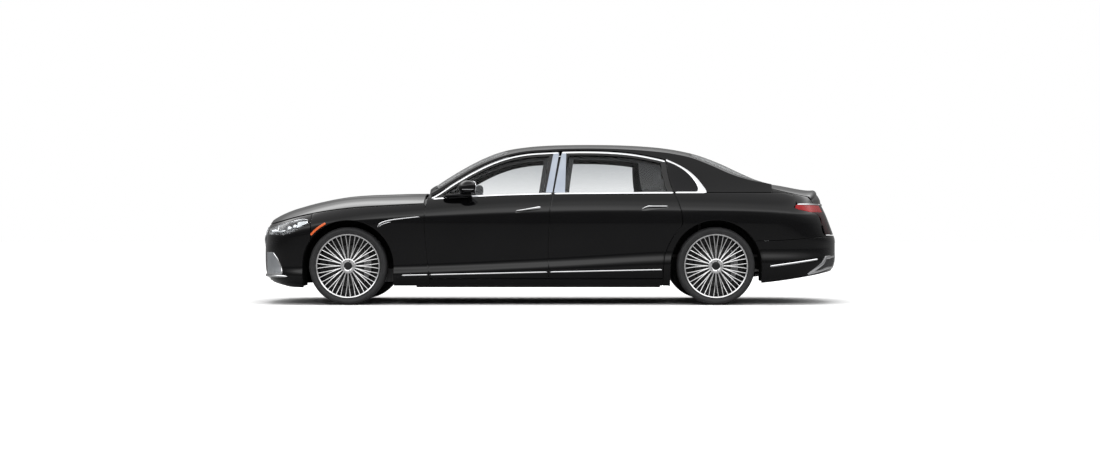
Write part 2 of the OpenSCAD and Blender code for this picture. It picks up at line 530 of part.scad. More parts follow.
module grille() {
    low = bumper_row_shares[3] * overall_height + panel_gap;
    high = spline(lamp_high, half_length) - 2.4 * panel_gap;
    wide = nose_path(bumper_columns_share[grille_columns], low, bumper_line_x)[1] - 2.2 * panel_gap;
    back = nose_path(bumper_columns_share[grille_columns], high,
        bumper_line_x)[0] - grille_depth - 1.4 * panel_thickness;
    border = panel_gap;
    color(chrome) union() {
        difference() {
            translate([back, -wide, low]) cube([grille_depth, 2 * wide, high - low]);
            translate([back + border, -wide + border, low + border])
                cube([grille_depth, 2 * (wide - border), high - low - 2 * border]);
        }
        for (k = [1 : grille_slats])
            translate([back + border / 2, -wide + 2 * wide * k / (grille_slats + 1) - border / 4,
                low + border / 2])
                cube([grille_depth - border, border / 2, high - low - border]);
        for (s = [-1, 1]) translate([radiator_x + 2 * panel_thickness + seat_gap, s * wide / 2 - border,
            mix(low, high, 0.4)])
            cube([back + border - radiator_x - 2 * panel_thickness - seat_gap, 2 * border, 2 * border]);
        for (k = [1 : 3])
            translate([back + border / 2, -wide + border / 2, mix(low, high, k / 4) - border / 4])
                cube([grille_depth - border / 2, 2 * wide - border, border / 2]);
    }
}

// Bonnet from the nose to the foot of the windscreen
bonnet_thickness = 0.7 * panel_thickness;
bonnet_rear_x = station_x(1.204);
bonnet_inset = 0.8 * panel_gap;
bonnet_columns_share = [1, 0.96, 0.86, 0.72, 0.5, 0.25, 0, -0.25, -0.5, -0.72, -0.86, -0.96, -1];
bonnet_rows_share = [0, 0.03, 0.08, 0.16, 0.28, 0.42, 0.57, 0.72, 0.87, 1];
function bonnet_point(f, t) =
    let (z0 = lip_z_share * overall_height, a = nose_path(f, z0, bumper_line_x),
        front = nose_path(f, spline(bonnet_edge, a[0]), bumper_line_x),
        end = nose_path(1, spline(bonnet_edge, bumper_line_x), bumper_line_x),
        x = mix(front[0], bonnet_rear_x, t), edge_x = mix(end[0], bonnet_rear_x, t),
        rear_y = bonnet_half(bonnet_rear_x),
        y = mix(front[1], f * rear_y, t) * (bonnet_half(edge_x) - bonnet_inset) / mix(end[1], rear_y, t))
    [x, y, bonnet_z(x, y)];
bonnet_hinge_x = bonnet_rear_x + lid_hinge_back;
bonnet_hinge_z = bonnet_z(bonnet_hinge_x, lid_hinge_y) - bonnet_thickness / 2;
module bonnet() {
    color(paint) difference() {
        shell([for (t = bonnet_rows_share) [for (f = bonnet_columns_share) bonnet_point(f, t)]],
            bonnet_thickness);
        lid_pockets(bonnet_hinge_x, bonnet_hinge_z, -1);
    }
}

// Roof, windscreen and rear window lie in one crowned surface between the side frames
function inner_rail_y(x) = max(rail_y(x) - rail_width, 0.5 * rail_y(x)) - 2 * seat_gap;
screen_bow = [0.028 * wheelbase, 0.02 * wheelbase];
crown_columns_share = [1, 0.9, 0.75, 0.5, 0.25, 0, -0.25, -0.5, -0.75, -0.9, -1];
function crown_grid(stations, bow_front, bow_rear, trim_front, trim_rear) =
    [for (k = [0 : len(stations) - 1]) [for (f = crown_columns_share)
        let (t = k / (len(stations) - 1), x = station_x(stations[k]) + mix(bow_front, bow_rear,
            t) * (1 - f * f)
                - (k == 0 ? trim_front : 0) + (k == len(stations) - 1 ? trim_rear : 0),
                    y = f * inner_rail_y(x))
        [x, y, roof_z(x, y)]]];
last_screen = screen_stations_share[len(screen_stations_share) - 1];
last_roof = roof_stations_share[len(roof_stations_share) - 1];
module roof() {
    color(paint) shell(crown_grid(concat([last_screen], roof_stations_share), screen_bow[1], 0,
        2 * seat_gap, 0), panel_thickness);
}
module windscreen() {
    color([0.2, 0.22, 0.24, 0.5]) shell(crown_grid(screen_stations_share, screen_bow[0], screen_bow[1],
        0, 0), glass_thickness);
}
module rear_window() {
    color([0.2, 0.22, 0.24, 0.5]) shell(crown_grid(concat([last_roof], rear_stations_share), 0, 0,
        2 * seat_gap, 0), glass_thickness);
}
module quarter_window() {
    picks = [for (i = [quarter_window_first : quarter_window_last]) frame_stations_share[i]];
    p = [for (s = picks) let (r = frame_row(s),
        grow = s == picks[0] ? -1 : s == picks[len(picks) - 1] ? 1 : 0)
        [for (t = [0, 0.5, 1]) let (z = mix(r[1][2] + 2 * seat_gap, r[3][2] - 2 * seat_gap, t),
            x = r[1][0] + 2 * grow * seat_gap)
            [x, cabin_y(x, z) - glass_thickness, z]]];
    color([0.2, 0.22, 0.24, 0.5]) shell(p, glass_thickness, level = function(i, j) true);
}

// Boot lid: the deck, then the rear face between the tail lamps
lid_front_x = station_x(2.449);
lid_corner_x = station_x(2.72);
lid_lip_share = 0.706;
lid_bottom_share = 0.43;
lid_thickness = panel_thickness;
lid_bevel = 1.5 * panel_thickness;
lamp_inner_share = 0.8;
lid_corner_y = side_y(lid_corner_x, spline(boot_edge, lid_corner_x)) - panel_gap / 2;
lid_corner_z = spline(boot_edge, lid_corner_x);
lid_columns_share = [1, 0.9, 0.8, 0.6, 0.3, 0, -0.3, -0.6, -0.8, -0.9, -1];
function lip_z(f) = crown(lid_lip_share * overall_height, lid_corner_z, f, bonnet_power);
function lip_x(f) = abs(f) > 0.99 ? lid_corner_x : tail_plan_x(abs(f) * lid_corner_y, lip_z(f));
function lid_deck(f, t) =
    let (edge_x = mix(lid_front_x, lid_corner_x, t), x = mix(lid_front_x, lip_x(f), t),
        edge_y = side_y(edge_x, spline(boot_edge, edge_x)) - panel_gap / 2,
        middle_z = mix(spline(deck_line, mix(lid_front_x, lip_x(0), t)), lip_z(0), t * t))
    [x, f * edge_y, crown(middle_z, spline(boot_edge, edge_x), f, bonnet_power)];
function lid_face(f, k) =
    let (z = k == 0 ? lip_z(f) - lid_bevel : mix(lip_z(f) - lid_bevel, lid_bottom_share * overall_height,
        k / 4),
        y = f * lid_corner_y)
    [tail_plan_x(y, z), y, z];
lid_hinge_x = lid_front_x - lid_hinge_back;
lid_hinge_z = lid_deck(lid_hinge_y / lid_corner_y, 0)[2] - lid_thickness / 2;
module boot_lid() {
    p = concat([for (t = [0, 0.25, 0.5, 0.75, 1]) [for (f = lid_columns_share) lid_deck(f, t)]],
        [for (k = [0 : 4]) [for (f = lid_columns_share) lid_face(f, k)]]);
    color(paint) difference() {
        shell(p, lid_thickness, hole = function(i, j) i >= 5 && (j < 2 || j > 7));
        lid_pockets(lid_hinge_x, lid_hinge_z, 1);
    }
}

// Tail lamp: from the lid round the corner to the quarter panel
quarter_lamp_line = [for (p = lamp_front_shares) [p[1] * overall_height, station_x(p[0])]];
lamp_depth = 1.2 * panel_thickness;
module tail_lamp() {
    inner_y = lamp_inner_share * lid_corner_y + panel_gap;
    low = lid_bottom_share * overall_height + panel_gap / 2;
    us = [1, 0.75, 0.5, 0.25, 0];
    rows = [0, 0.25, 0.5, 0.7, 0.85, 1];
    p = [for (u = us) [for (r = rows)
        let (high = lid_corner_z - lid_bevel - 3 * panel_gap, z = mix(low, high, r), 
            end_x = spline(quarter_lamp_line, z) - mix(1.5, 4.5, r) * panel_gap,
            y_end = side_y(end_x, z), y = mix(inner_y, y_end, pow(u, 0.8)),
            x = u > 0.99 ? end_x : tail_plan_x(y, z)) [x, y, z]]];
    inner = [for (k = [0 : len(us) - 1]) let (out = [us[k] - 1, us[k], 0])
        [for (q = p[k]) q - lamp_depth * out / norm(out)]];
    bracket_y = inner_y + panel_gap;
    bracket_x = tail_plan_x(bracket_y, low + 2 * panel_thickness) + lamp_depth / 3;
    foot_z = boot_floor_z + floor_thickness + seat_gap;
    color([0.6, 0.05, 0.05]) union() {
        shell(p, lamp_depth, inner_grid = inner);
        translate([bracket_x, bracket_y, low + panel_thickness])
            cube([boot_end_x + 2 * panel_thickness - bracket_x, panel_thickness, panel_thickness]);
        translate([boot_end_x + panel_thickness, bracket_y, foot_z])
            cube([panel_thickness, panel_thickness, low + 2 * panel_thickness - foot_z]);
    }
}

// Rear bumper cover
rear_bottom_shares = [[2.2, 0.122], [2.5, 0.148], [2.75, 0.178], [2.9, 0.198], [3, 0.205]];
rear_bottom = line_of(rear_bottom_shares, overall_height);
function arch_rear_x(z) = rear_axle_x - (z < hub_z ? arch_radius
    : sqrt(max(0, arch_radius * arch_radius - (z - hub_z) * (z - hub_z))));
rear_columns_all_share = [1, 0.95, 0.9, 0.85, 0.8, 0.72, 0.6, 0.45, 0.3, 0.15, 0, -0.15, -0.3, -0.45,
    -0.6, -0.72, -0.8, -0.85, -0.9, -0.95, -1];
function rear_bumper_point(f, t) =
    let (z_mid = mix(rear_bottom[4][1], bumper_top[4][1], t), x0 = tail_path(f, z_mid,
        arch_rear_x(z_mid))[0],
        z = mix(spline(rear_bottom, x0), spline(bumper_top, x0) - panel_gap / 2, t))
    tail_path(f, z, arch_rear_x(z));
module rear_bumper() {
    color(paint) union() {
        shell([for (f = rear_columns_all_share) [for (t = [0, 0.12, 0.3, 0.55, 0.8, 0.93,
            1]) rear_bumper_point(f, t)]], panel_thickness);
        for (s = [-1, 1]) translate([tail_plan_x(front_rail_y, boot_floor_z) + panel_thickness / 2,
            s * front_rail_y - rail_half / 2, boot_floor_z])
            cube([boot_end_x - seat_gap - tail_plan_x(front_rail_y, boot_floor_z) - panel_thickness / 2,
                rail_half, panel_thickness]);
    }
}

// Sills, door posts and centre posts inside the doors
post_inset = door_thickness + panel_gap;
post_thickness = 1.2 * panel_thickness;
post_half = 2 * post_thickness;
sill_depth = 1.4 * door_thickness;
centre_post_x_share = 1.545;
upper_inset = frame_thickness + 1.2 * panel_gap;
rocker_width = 0.08 * half_width;
pad_x = [station_x(1.27), station_x(1.8)];
pad_radius = 0.4 * rocker_width;
pad_height = 0.5 * panel_thickness;
rocker_height = 3 * panel_thickness;
module sill() {
    p = [for (k = [0 : 10]) [for (t = [0, 0.5, 1])
        let (z = mix(sill_bottom_z, door_bottom_z - panel_gap, t),
            x = mix(spline(front_door_front, z) - panel_gap / 2, spline(rear_door_rear,
                z) + panel_gap / 2, k / 10))
        [x, side_y(x, z), z]]];
    color(paint) shell(p, sill_depth, level = function(i, j) true);
}
module post(x_low, x_high, heights, insets) {
    last = len(heights) - 1;
    p = [for (k = [0 : 2]) [for (r = [0 : last])
        let (z = heights[r], t = (z - heights[0]) / (heights[last] - heights[0]), x = mix(x_low, x_high,
            t * t) + post_half * (1 - k))
        [x, body_y(x, z) - insets[r], z]]];
    color(dark) shell(p, post_thickness, level = function(i, j) true);
}
module side_posts() {
    x = station_x(centre_post_x_share);
    rail_x = spline(pillar_gap, rail_z(x));
    low = floor_z + rocker_height - panel_thickness;
    b = belt_z(x);
    high = rail_z(rail_x) - 0.5 * panel_thickness;
    post(x, rail_x, [low, mix(low, b, 0.4), mix(low, b, 0.8), b, mix(b, high, 0.25), mix(b, high, 0.6),
        high],
        [post_inset, post_inset, post_inset, 1.1 * post_inset, post_inset, upper_inset, upper_inset]);
    front = spline(front_door_front, waist_z) + post_half + panel_gap;
    front_high = spline(bonnet_edge, front) - 4 * panel_thickness;
    post(front, front, [for (k = [0 : 4]) mix(low, front_high, k / 4)],
        [for (k = [0 : 4]) panel_thickness + 2 * panel_gap]);
    door_pins(front_hinge_x, front - post_half + panel_gap, side_y(front,
        waist_z) - panel_thickness - 2 * panel_gap - post_thickness + arm_width / 2);
    door_pins(rear_hinge_x, rear_hinge_x, side_y(x, waist_z) - post_inset - post_thickness / 2);
    rocker_x = spline(rear_door_rear, sill_bottom_z) + panel_gap;
    translate([rocker_x, floor_half + seat_gap, floor_z]) cube([front + post_half - rocker_x,
        rocker_width, rocker_height]);
    for (x = pad_x) translate([x, floor_half + rocker_width / 2, floor_z - pad_height])
        cylinder(r = pad_radius, h = pad_height + overrun);
}
shelf_z = 0.63 * overall_height;
shelf_half = 0.76 * half_width;
shelf_front_x = station_x(1.965);
// Floor: cabin floor with a tunnel, heel board, boot floor and rear wall
floor_z = 0.105 * overall_height;
floor_thickness = panel_thickness;
floor_half = half_width - 2 * sill_depth;
bulkhead_x = station_x(1.19);
heel_x = station_x(1.85);
boot_floor_z = 0.29 * overall_height;
boot_half = wheel_y - tyre_width / 2 - 2 * panel_thickness;
boot_end_x = station_x(2.84);
tunnel_half = 0.15 * half_width;
tunnel_top = 0.25 * overall_height;
bulkhead_half = floor_half;
bulkhead_top = 0.62 * overall_height;
module floor_pan() {
    color(dark) union() {
        translate([heel_x, -floor_half, floor_z]) cube([bulkhead_x - heel_x, 2 * floor_half,
            floor_thickness]);
        translate([heel_x, -boot_half, floor_z]) cube([floor_thickness, 2 * boot_half,
            boot_floor_z - floor_z]);
        translate([boot_end_x, -boot_half, boot_floor_z]) cube([heel_x + floor_thickness - boot_end_x,
            2 * boot_half, floor_thickness]);
        translate([heel_x, -tunnel_half, floor_z]) cube([bulkhead_x - heel_x, 2 * tunnel_half,
            tunnel_top - floor_z]);
        translate([bulkhead_x, -bulkhead_half, floor_z]) cube([floor_thickness, 2 * bulkhead_half,
            bulkhead_top - floor_z]);
        translate([shelf_front_x, -boot_half, boot_floor_z]) cube([floor_thickness, 2 * boot_half,
            shelf_z - boot_floor_z]);
        translate([station_x(2.4), -shelf_half, shelf_z])
            cube([shelf_front_x + floor_thickness - station_x(2.4), 2 * shelf_half, floor_thickness]);
        lid_pins(bonnet_hinge_x, bonnet_hinge_z, bulkhead_x, bulkhead_top - arm_height - overrun);
        lid_pins(lid_hinge_x, lid_hinge_z, station_x(2.4), shelf_z + overrun);
    }
}

// Wheel arch liners
liner_thickness = 5;
liner_gap = 6.4 * seat_gap;
liner_inner_share = 0.54;
module liner(axle_x, from, to, inner_y) {
    p = [for (k = [0 : 14]) let (a = mix(from, to, k / 14), q = arch_point(axle_x, a))
        [for (t = [0, 1]) [q[0], mix(inner_y, side_y(q[0], q[1]) - panel_thickness - liner_gap, t), q[1]]]];
    color(dark) shell([for (r = p) [r[1], r[0]]], liner_thickness);
}

// Tyre, rim with spokes and brake disc; the wheel axis is the Y axis, outside towards +Y
bead_gap = 0.3;
tyre_seat = 0.85;
module about_y() { rotate([-90, 0, 0]) children(); }
tyre_profile_shares = [[0.815, 0.41], [0.84, 0.46], [0.91, 0.5], [0.965, 0.47], [0.992, 0.41], [1, 0.3]];
bead_share = 0.4;
bead_radius_share = 0.968;
bead_radius = bead_radius_share * rim_radius;
module tyre() {
    side = [for (p = tyre_profile_shares) [max(p[0] * tyre_radius, rim_radius + tyre_seat),
        p[1] * tyre_width]];
    half = concat([[bead_radius + tyre_seat, bead_share * tyre_width], [rim_radius + tyre_seat,
        bead_share * tyre_width]], side);
    color([0.06, 0.06, 0.065]) about_y() rotate_extrude($fn = 96)
        polygon(concat(half, [for (k = [len(half) - 1 : -1 : 0]) [half[k][0], -half[k][1]]]));
}
flange_w = bead_share * tyre_width + tyre_seat;
lip_w = 0.46 * tyre_width;
barrel_radius = 0.9 * rim_radius;
hub_radius = 0.3 * rim_radius;
bore_radius = 0.1 * rim_radius;
hub_back = 0.08 * tyre_width;
hub_face = 0.36 * tyre_width;
spoke_width = 0.03 * rim_radius;
disc_radius = 0.66 * rim_radius;
disc_back = 0.12 * tyre_width;
module rim() {
    color(chrome) about_y() union() {
        rotate_extrude($fn = 96) polygon([[rim_radius, flange_w], [rim_radius, lip_w],
            [0.96 * rim_radius, lip_w],
            [0.93 * rim_radius, 0.8 * flange_w], [barrel_radius, 0.5 * flange_w], [barrel_radius,
                -flange_w],
            [0.95 * rim_radius, -lip_w], [rim_radius, -lip_w], [rim_radius, -flange_w], [bead_radius,
                -flange_w],
            [bead_radius, flange_w]]);
        rotate_extrude($fn = 48) polygon([[bore_radius, -disc_back], [disc_radius, -disc_back],
            [disc_radius, 0],
            [1.1 * hub_radius, 0], [hub_radius, hub_back], [hub_radius, hub_face - hub_back],
                [0.8 * hub_radius, hub_face],
            [0, hub_face], [0, hub_face - hub_back], [bore_radius, hub_face - hub_back]]);
        for (k = [0 : spoke_count - 1]) rotate([0, 0, 360 * k / spoke_count])
            rotate([90, 0, 0]) linear_extrude(height = spoke_width, center = true)
                polygon([[0.9 * hub_radius, hub_back], [0.93 * rim_radius, 0.55 * flange_w],
                    [0.95 * rim_radius, 0.95 * lip_w],
                    [0.6 * rim_radius, hub_face], [0.9 * hub_radius, 0.95 * hub_face]]);
    }
}

// Front upright with stub axle and brake caliper, drawn round the wheel centre
upright_back = 0.42 * tyre_width;
upright_front = disc_back + 8 * bead_gap;
upright_half = 0.2 * rim_radius;
joint_reach = 0.5 * rim_radius;
stud_radius = 0.05 * rim_radius;
running_gap = 0.05;
pad_gap = 8 * bead_gap;
module caliper() {
    difference() {
        about_y() difference() {
            translate([0, 0, -disc_back - upright_half / 2]) cylinder(r = disc_radius + upright_half / 3,
                h = upright_half + disc_back);
            translate([0, 0, -disc_back - upright_half]) cylinder(r = 0.6 * disc_radius,
                h = 2 * upright_half + 2 * disc_back);
            translate([0, 0, -disc_back - pad_gap]) cylinder(r = disc_radius + pad_gap,
                h = disc_back + 2 * pad_gap);
        }
        translate([-0.75 * disc_radius, -2 * disc_back - upright_half, -2 * disc_radius])
            cube([4 * disc_radius, 4 * disc_back + 2 * upright_half, 4 * disc_radius]);
    }
}
module stub_axle() {
    about_y() translate([0, 0, -upright_back]) cylinder(r = bore_radius - running_gap,
        h = upright_back + hub_face - 2 * hub_back);
}
module knuckle() {
    color(chrome) difference() {
        union() {
            translate([-upright_half, -upright_back, -joint_reach])
                cube([2 * upright_half, upright_back - upright_front, 2 * joint_reach]);
            stub_axle();
            caliper();
            translate([-disc_radius, -disc_back - upright_half / 2, -upright_half / 2])
                cube([disc_radius, upright_half / 2 - pad_gap, upright_half]);
        }
        for (s = [-1, 1]) translate([0, -upright_back + upright_half / 2, s * joint_reach]) 
            cylinder(r = stud_radius + running_gap, h = upright_half, center = true);
    }
}

// Engine and gearbox block, front rails with the radiator
front_rail_y = 0.42 * half_width;
rail_half = 0.04 * half_width;
rail_low = 0.3 * overall_height;
engine_top = 0.53 * overall_height;
engine_front_x = station_x(0.88);
engine_half = 0.27 * half_width;
engine_low = 0.13 * overall_height;
gearbox_end_x = station_x(1.36);
module engine() {
    color([0.45, 0.46, 0.48]) union() {
        translate([bulkhead_x + 3 * panel_gap, -engine_half, engine_low])
            cube([engine_front_x - bulkhead_x - 3 * panel_gap, 2 * engine_half, engine_top - engine_low]);
        translate([bulkhead_x + floor_thickness + seat_gap, -0.8 * tunnel_half, engine_low])
            cube([4 * panel_gap, 1.6 * tunnel_half, tunnel_top - engine_low - panel_gap]);
        translate([mix(bulkhead_x, engine_front_x, 0.35), -front_rail_y + rail_half + seat_gap,
            rail_low + rail_half])
            cube([4 * rail_half, 2 * (front_rail_y - rail_half - seat_gap), rail_half]);
    }
}
radiator_x = station_x(0.33);
module front_structure() {
    color(dark) union() {
        for (s = [-1, 1]) translate([bulkhead_x + floor_thickness, s * front_rail_y - rail_half, rail_low])
            cube([radiator_x - bulkhead_x, 2 * rail_half, 3 * rail_half]);
        translate([radiator_x, -front_rail_y - rail_half, 0.2 * overall_height])
            cube([2 * panel_thickness, 2 * (front_rail_y + rail_half), 0.24 * overall_height]);
    }
}

// Suspension: arms that end in studs at the steering axis in front, fixed carriers at the rear
arm_thickness = 0.6 * upright_half;
arm_inner_y = 0.36 * half_width;
arm_half = 0.6 * upright_half;
module front_suspension() {
    stud_y = wheel_y - upright_back + upright_half / 2;
    color(dark) both_sides() union() {
        for (s = [-1, 1]) translate([front_axle_x, 0, hub_z + s * joint_reach]) {
            translate([-arm_half, arm_inner_y,
                s > 0 ? upright_half / 8 : -arm_thickness - upright_half / 8])
                cube([2 * arm_half, stud_y + 1.2 * stud_radius - arm_inner_y, arm_thickness]);
            translate([0, stud_y, s > 0 ? -0.45 * upright_half : -upright_half / 4])
                cylinder(r = stud_radius, h = 0.7 * upright_half);
        }
        translate([front_axle_x - 2 * arm_half, arm_inner_y - rail_half,
            hub_z - joint_reach - arm_thickness - upright_half / 8])
            cube([4 * arm_half, 2 * rail_half, 2 * joint_reach + 2 * arm_thickness + upright_half / 4]);
    }
}
module rear_suspension() {
    color(dark) union() {
        both_sides() translate([rear_axle_x, wheel_y, hub_z]) {
            translate([-upright_half, -upright_back, -joint_reach]) cube([2 * upright_half,
                upright_back - upright_front, 2 * joint_reach]);
            stub_axle();
            caliper();
            translate([-disc_radius, -disc_back - upright_half / 2,
                -upright_half / 2]) cube([disc_radius, upright_half / 2 - pad_gap, upright_half]);
        }
        translate([rear_axle_x - arm_half, -wheel_y + upright_back - upright_half / 4, hub_z - joint_reach])
            cube([2 * arm_half, 2 * (wheel_y - upright_back) + upright_half / 2, arm_thickness]);
        translate([rear_axle_x - 2 * arm_half, -2 * arm_half, hub_z - joint_reach]) cube([4 * arm_half,
            4 * arm_half, boot_floor_z - hub_z + joint_reach - seat_gap]);
    }
}

// Cabin: dashboard, steering wheel and seats
seat_y = 0.39 * half_width;
seat_half = 0.26 * half_width;
seat_x = station_x(1.392);
seat_length = 0.28 * overall_height;
cushion_z = 0.27 * overall_height;
cushion_thickness = 0.09 * overall_height;
back_height = 0.4 * overall_height;
back_rake = 0.13 * overall_height;
console_half = seat_y - seat_half - panel_gap;
dash_front_x = bulkhead_x - seat_gap;
dash_depth = 0.26 * half_width;
dash_half = 0.78 * half_width;
dash_top = 0.64 * overall_height;
dash_low = 0.42 * overall_height;
column_y = 0.38 * half_width;
column_x = station_x(1.335);
column_z = 0.575 * overall_height;
column_rake = 24;
column_radius = 0.045 * half_width;
wheel_grip_radius = 0.19 * half_width;
module dashboard() {
    color(dark) {
        union() {
            translate([dash_front_x, dash_half, 0]) rotate([90, 0,
                0]) linear_extrude(height = 2 * dash_half)
                polygon([[0, dash_low], [-0.7 * dash_depth, dash_low], [-dash_depth,
                    0.75 * dash_top + 0.25 * dash_low],
                    [-0.9 * dash_depth, 0.97 * dash_top], [-0.5 * dash_depth, dash_top],
                        [-0.25 * dash_depth, 0.95 * dash_top], [0, 0.88 * dash_top]]);
            translate([station_x(1.52), -console_half, tunnel_top + seat_gap])
                cube([dash_front_x - dash_depth / 2 - station_x(1.52), 2 * console_half,
                    0.4 * (dash_low - tunnel_top)]);
            translate([dash_front_x - 0.9 * dash_depth, -console_half, tunnel_top + seat_gap])
                cube([0.5 * dash_depth, 2 * console_half, dash_low - tunnel_top]);
            translate([column_x, column_y, column_z]) rotate([0, 90 + column_rake, 0])
                translate([0, 0, 2 * column_radius]) cylinder(r = 1.2 * column_radius, h = dash_depth);
        }
    }
}
module steering_wheel() {
    color(dark) translate([column_x, column_y, column_z]) rotate([0, 90 + column_rake, 0]) union() {
        rotate_extrude() translate([wheel_grip_radius, 0]) circle(r = column_radius / 3);
        cylinder(r = column_radius, h = 2 * column_radius - bead_gap);
        for (a = [0, 180, 270]) rotate([0, 0, a + 90]) translate([0, -column_radius / 2, 0])
            cube([wheel_grip_radius, column_radius, column_radius / 3]);
    }
}
module seat(x, high, base_low) {
    translate([x, -seat_half, 0]) {
        translate([0, 2 * seat_half, 0]) rotate([90, 0, 0]) linear_extrude(height = 2 * seat_half)
            polygon([[0, cushion_z + 0.5 * cushion_thickness], [-0.1 * seat_length,
                cushion_z + cushion_thickness],
                [-0.9 * seat_length, cushion_z + 0.75 * cushion_thickness],
                [-seat_length - 0.9 * back_rake, cushion_z + high], [-seat_length - 1.3 * back_rake,
                    cushion_z + high],
                [-1.25 * seat_length, cushion_z], [0, cushion_z]]);
        translate([-seat_length - 1.25 * back_rake, 0.45 * seat_half,
            cushion_z + high - cushion_thickness / 4])
            cube([0.35 * back_rake, 1.1 * seat_half, 1.6 * cushion_thickness]);
        translate([-1.1 * seat_length, 0.3 * seat_half, base_low]) cube([seat_length, 1.4 * seat_half,
            cushion_z - base_low + cushion_thickness / 8]);
    }
}
seat_floor = floor_z + floor_thickness + seat_gap;
module front_seats() { color([0.2, 0.17, 0.15]) for (s = [-1, 1]) translate([0, s * seat_y,
    0]) seat(seat_x, back_height, seat_floor); }
rear_seat_x = station_x(1.672);
module rear_seats() {
    color([0.2, 0.17, 0.15]) union() {
        for (s = [-1, 1]) translate([0, s * seat_y, 0]) seat(rear_seat_x, 0.95 * back_height, seat_floor);
        translate([rear_seat_x - 0.95 * seat_length, -seat_y, cushion_z]) cube([0.8 * seat_length,
            2 * seat_y, 1.5 * cushion_thickness]);
    }
}
// Door mirrors on short arms
mirror_x = station_x(1.315);
mirror_low = 0.672 * overall_height;
mirror_height = 0.085 * overall_height;
mirror_length = 0.24 * half_width;
mirror_reach = 0.15 * half_width;
mirror_out = 1.098 * half_width;
module door_mirror() {
    color(paint) {
        translate([mirror_x - mirror_length / 2, mirror_out - mirror_reach, mirror_low])
            cube([mirror_length, mirror_reach, mirror_height]);
        translate([mirror_x - mirror_length / 6, side_y(mirror_x, belt_z(mirror_x)) - overrun,
            mirror_low - 1.4 * panel_thickness])
            cube([mirror_length / 3, mirror_out - 0.6 * mirror_reach - side_y(mirror_x,
                belt_z(mirror_x)) + overrun, 1.6 * panel_thickness]);
    }
}
exhaust_z = 0.2 * overall_height;
module exhaust() {
    color([0.5, 0.5, 0.5]) both_sides() translate([station_x(2.6), 0.35 * half_width, exhaust_z])
        union() {
            cube([0.1 * wheelbase, 0.25 * half_width, 0.07 * overall_height]);
            translate([0.04 * wheelbase, 0.1 * half_width, 0])
                cube([panel_thickness, panel_thickness, boot_floor_z - exhaust_z - seat_gap]);
        }
}

module at_wheel(axle_x, side) { on_side(side) translate([axle_x, wheel_y, hub_z]) children(); }
module wheel_liners() {
    both_sides() {
        liner(front_axle_x, 20, 180, liner_inner_share * half_width);
        liner(rear_axle_x, 0, 150, boot_half + seat_gap);
    }
}
module side_frames() {
    both_sides() union() {
        side_frame();
        sill();
        side_posts();
    }
}
module front_frame() {
    front_structure();
    front_suspension();
}

floor_pan();
wheel_liners();
side_frames();
both_sides() quarter();  // quarter_panels
roof();
both_sides() fender();  // fenders
front_bumper();
rear_bumper();
grille();
union() {  // headlamps
    headlamp(true);
    mirror([0, 1, 0]) headlamp(false);
}
both_sides() tail_lamp();  // tail_lamps
windscreen();
rear_window();
both_sides() quarter_window();  // quarter_windows
front_frame();
engine();
rear_suspension();
dashboard();
front_seats();
rear_seats();
exhaust();
bonnet();
boot_lid();
on_side(1) door_front();  // door_front_left
on_side(-1) door_front();  // door_front_right
on_side(1) door_rear();  // door_rear_left
on_side(-1) door_rear();  // door_rear_right
on_side(1) glass_front();  // glass_front_left
on_side(-1) glass_front();  // glass_front_right
on_side(1) glass_rear();  // glass_rear_left
on_side(-1) glass_rear();  // glass_rear_right
steering_wheel();
at_wheel(front_axle_x, 1) knuckle();  // knuckle_left
at_wheel(front_axle_x, -1) knuckle();  // knuckle_right
at_wheel(front_axle_x, 1) tyre();  // tyre_front_left
at_wheel(front_axle_x, -1) tyre();  // tyre_front_right
at_wheel(rear_axle_x, 1) tyre();  // tyre_rear_left
at_wheel(rear_axle_x, -1) tyre();  // tyre_rear_right
at_wheel(front_axle_x, 1) rim();  // wheel_front_left
at_wheel(front_axle_x, -1) rim();  // wheel_front_right
at_wheel(rear_axle_x, 1) rim();  // wheel_rear_left
at_wheel(rear_axle_x, -1) rim();  // wheel_rear_right
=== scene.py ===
# %% [markdown]
# # A long black saloon car
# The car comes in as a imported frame: every solid sits in metres with its front towards +X, its left
# side towards +Y and the road at z = 0. The solids are coarse, so each visible panel is drawn again
# here as a fine surface on the same lines, and rides on the body that carries it.

# %% Load the frame
import bpy
import numpy as np
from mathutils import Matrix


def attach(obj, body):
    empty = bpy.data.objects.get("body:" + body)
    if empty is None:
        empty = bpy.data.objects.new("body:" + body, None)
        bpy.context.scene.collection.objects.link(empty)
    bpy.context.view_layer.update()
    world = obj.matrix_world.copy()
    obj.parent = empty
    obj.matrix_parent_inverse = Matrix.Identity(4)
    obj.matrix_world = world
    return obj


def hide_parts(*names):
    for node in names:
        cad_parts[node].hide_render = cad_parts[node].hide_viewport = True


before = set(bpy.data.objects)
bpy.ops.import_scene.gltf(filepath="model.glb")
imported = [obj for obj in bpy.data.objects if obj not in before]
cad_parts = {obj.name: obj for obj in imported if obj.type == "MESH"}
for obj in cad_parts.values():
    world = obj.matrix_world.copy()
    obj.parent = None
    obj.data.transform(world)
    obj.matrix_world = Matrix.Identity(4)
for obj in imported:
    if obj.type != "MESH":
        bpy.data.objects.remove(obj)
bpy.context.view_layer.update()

# %% [markdown]
# ## Camera and studio
# The photograph is a level view of the left side from far away, so straight lines stay straight. The
# camera stands 18.9 m out at 0.738 m, with a long lens. The floor is pale and keeps the soft shadow; its
# white glow for the camera is left out round the car, out to 2.15 m on its far side, which paints shade
# round and behind the car; to gloss the floor is much darker, a painted shade in the car's reflections.
# The room is a plain gradient: a little darker at eye level, bright overhead. Gloss sees one soft bright
# band more, a third of the way up, which draws the long highlights without hard edges.

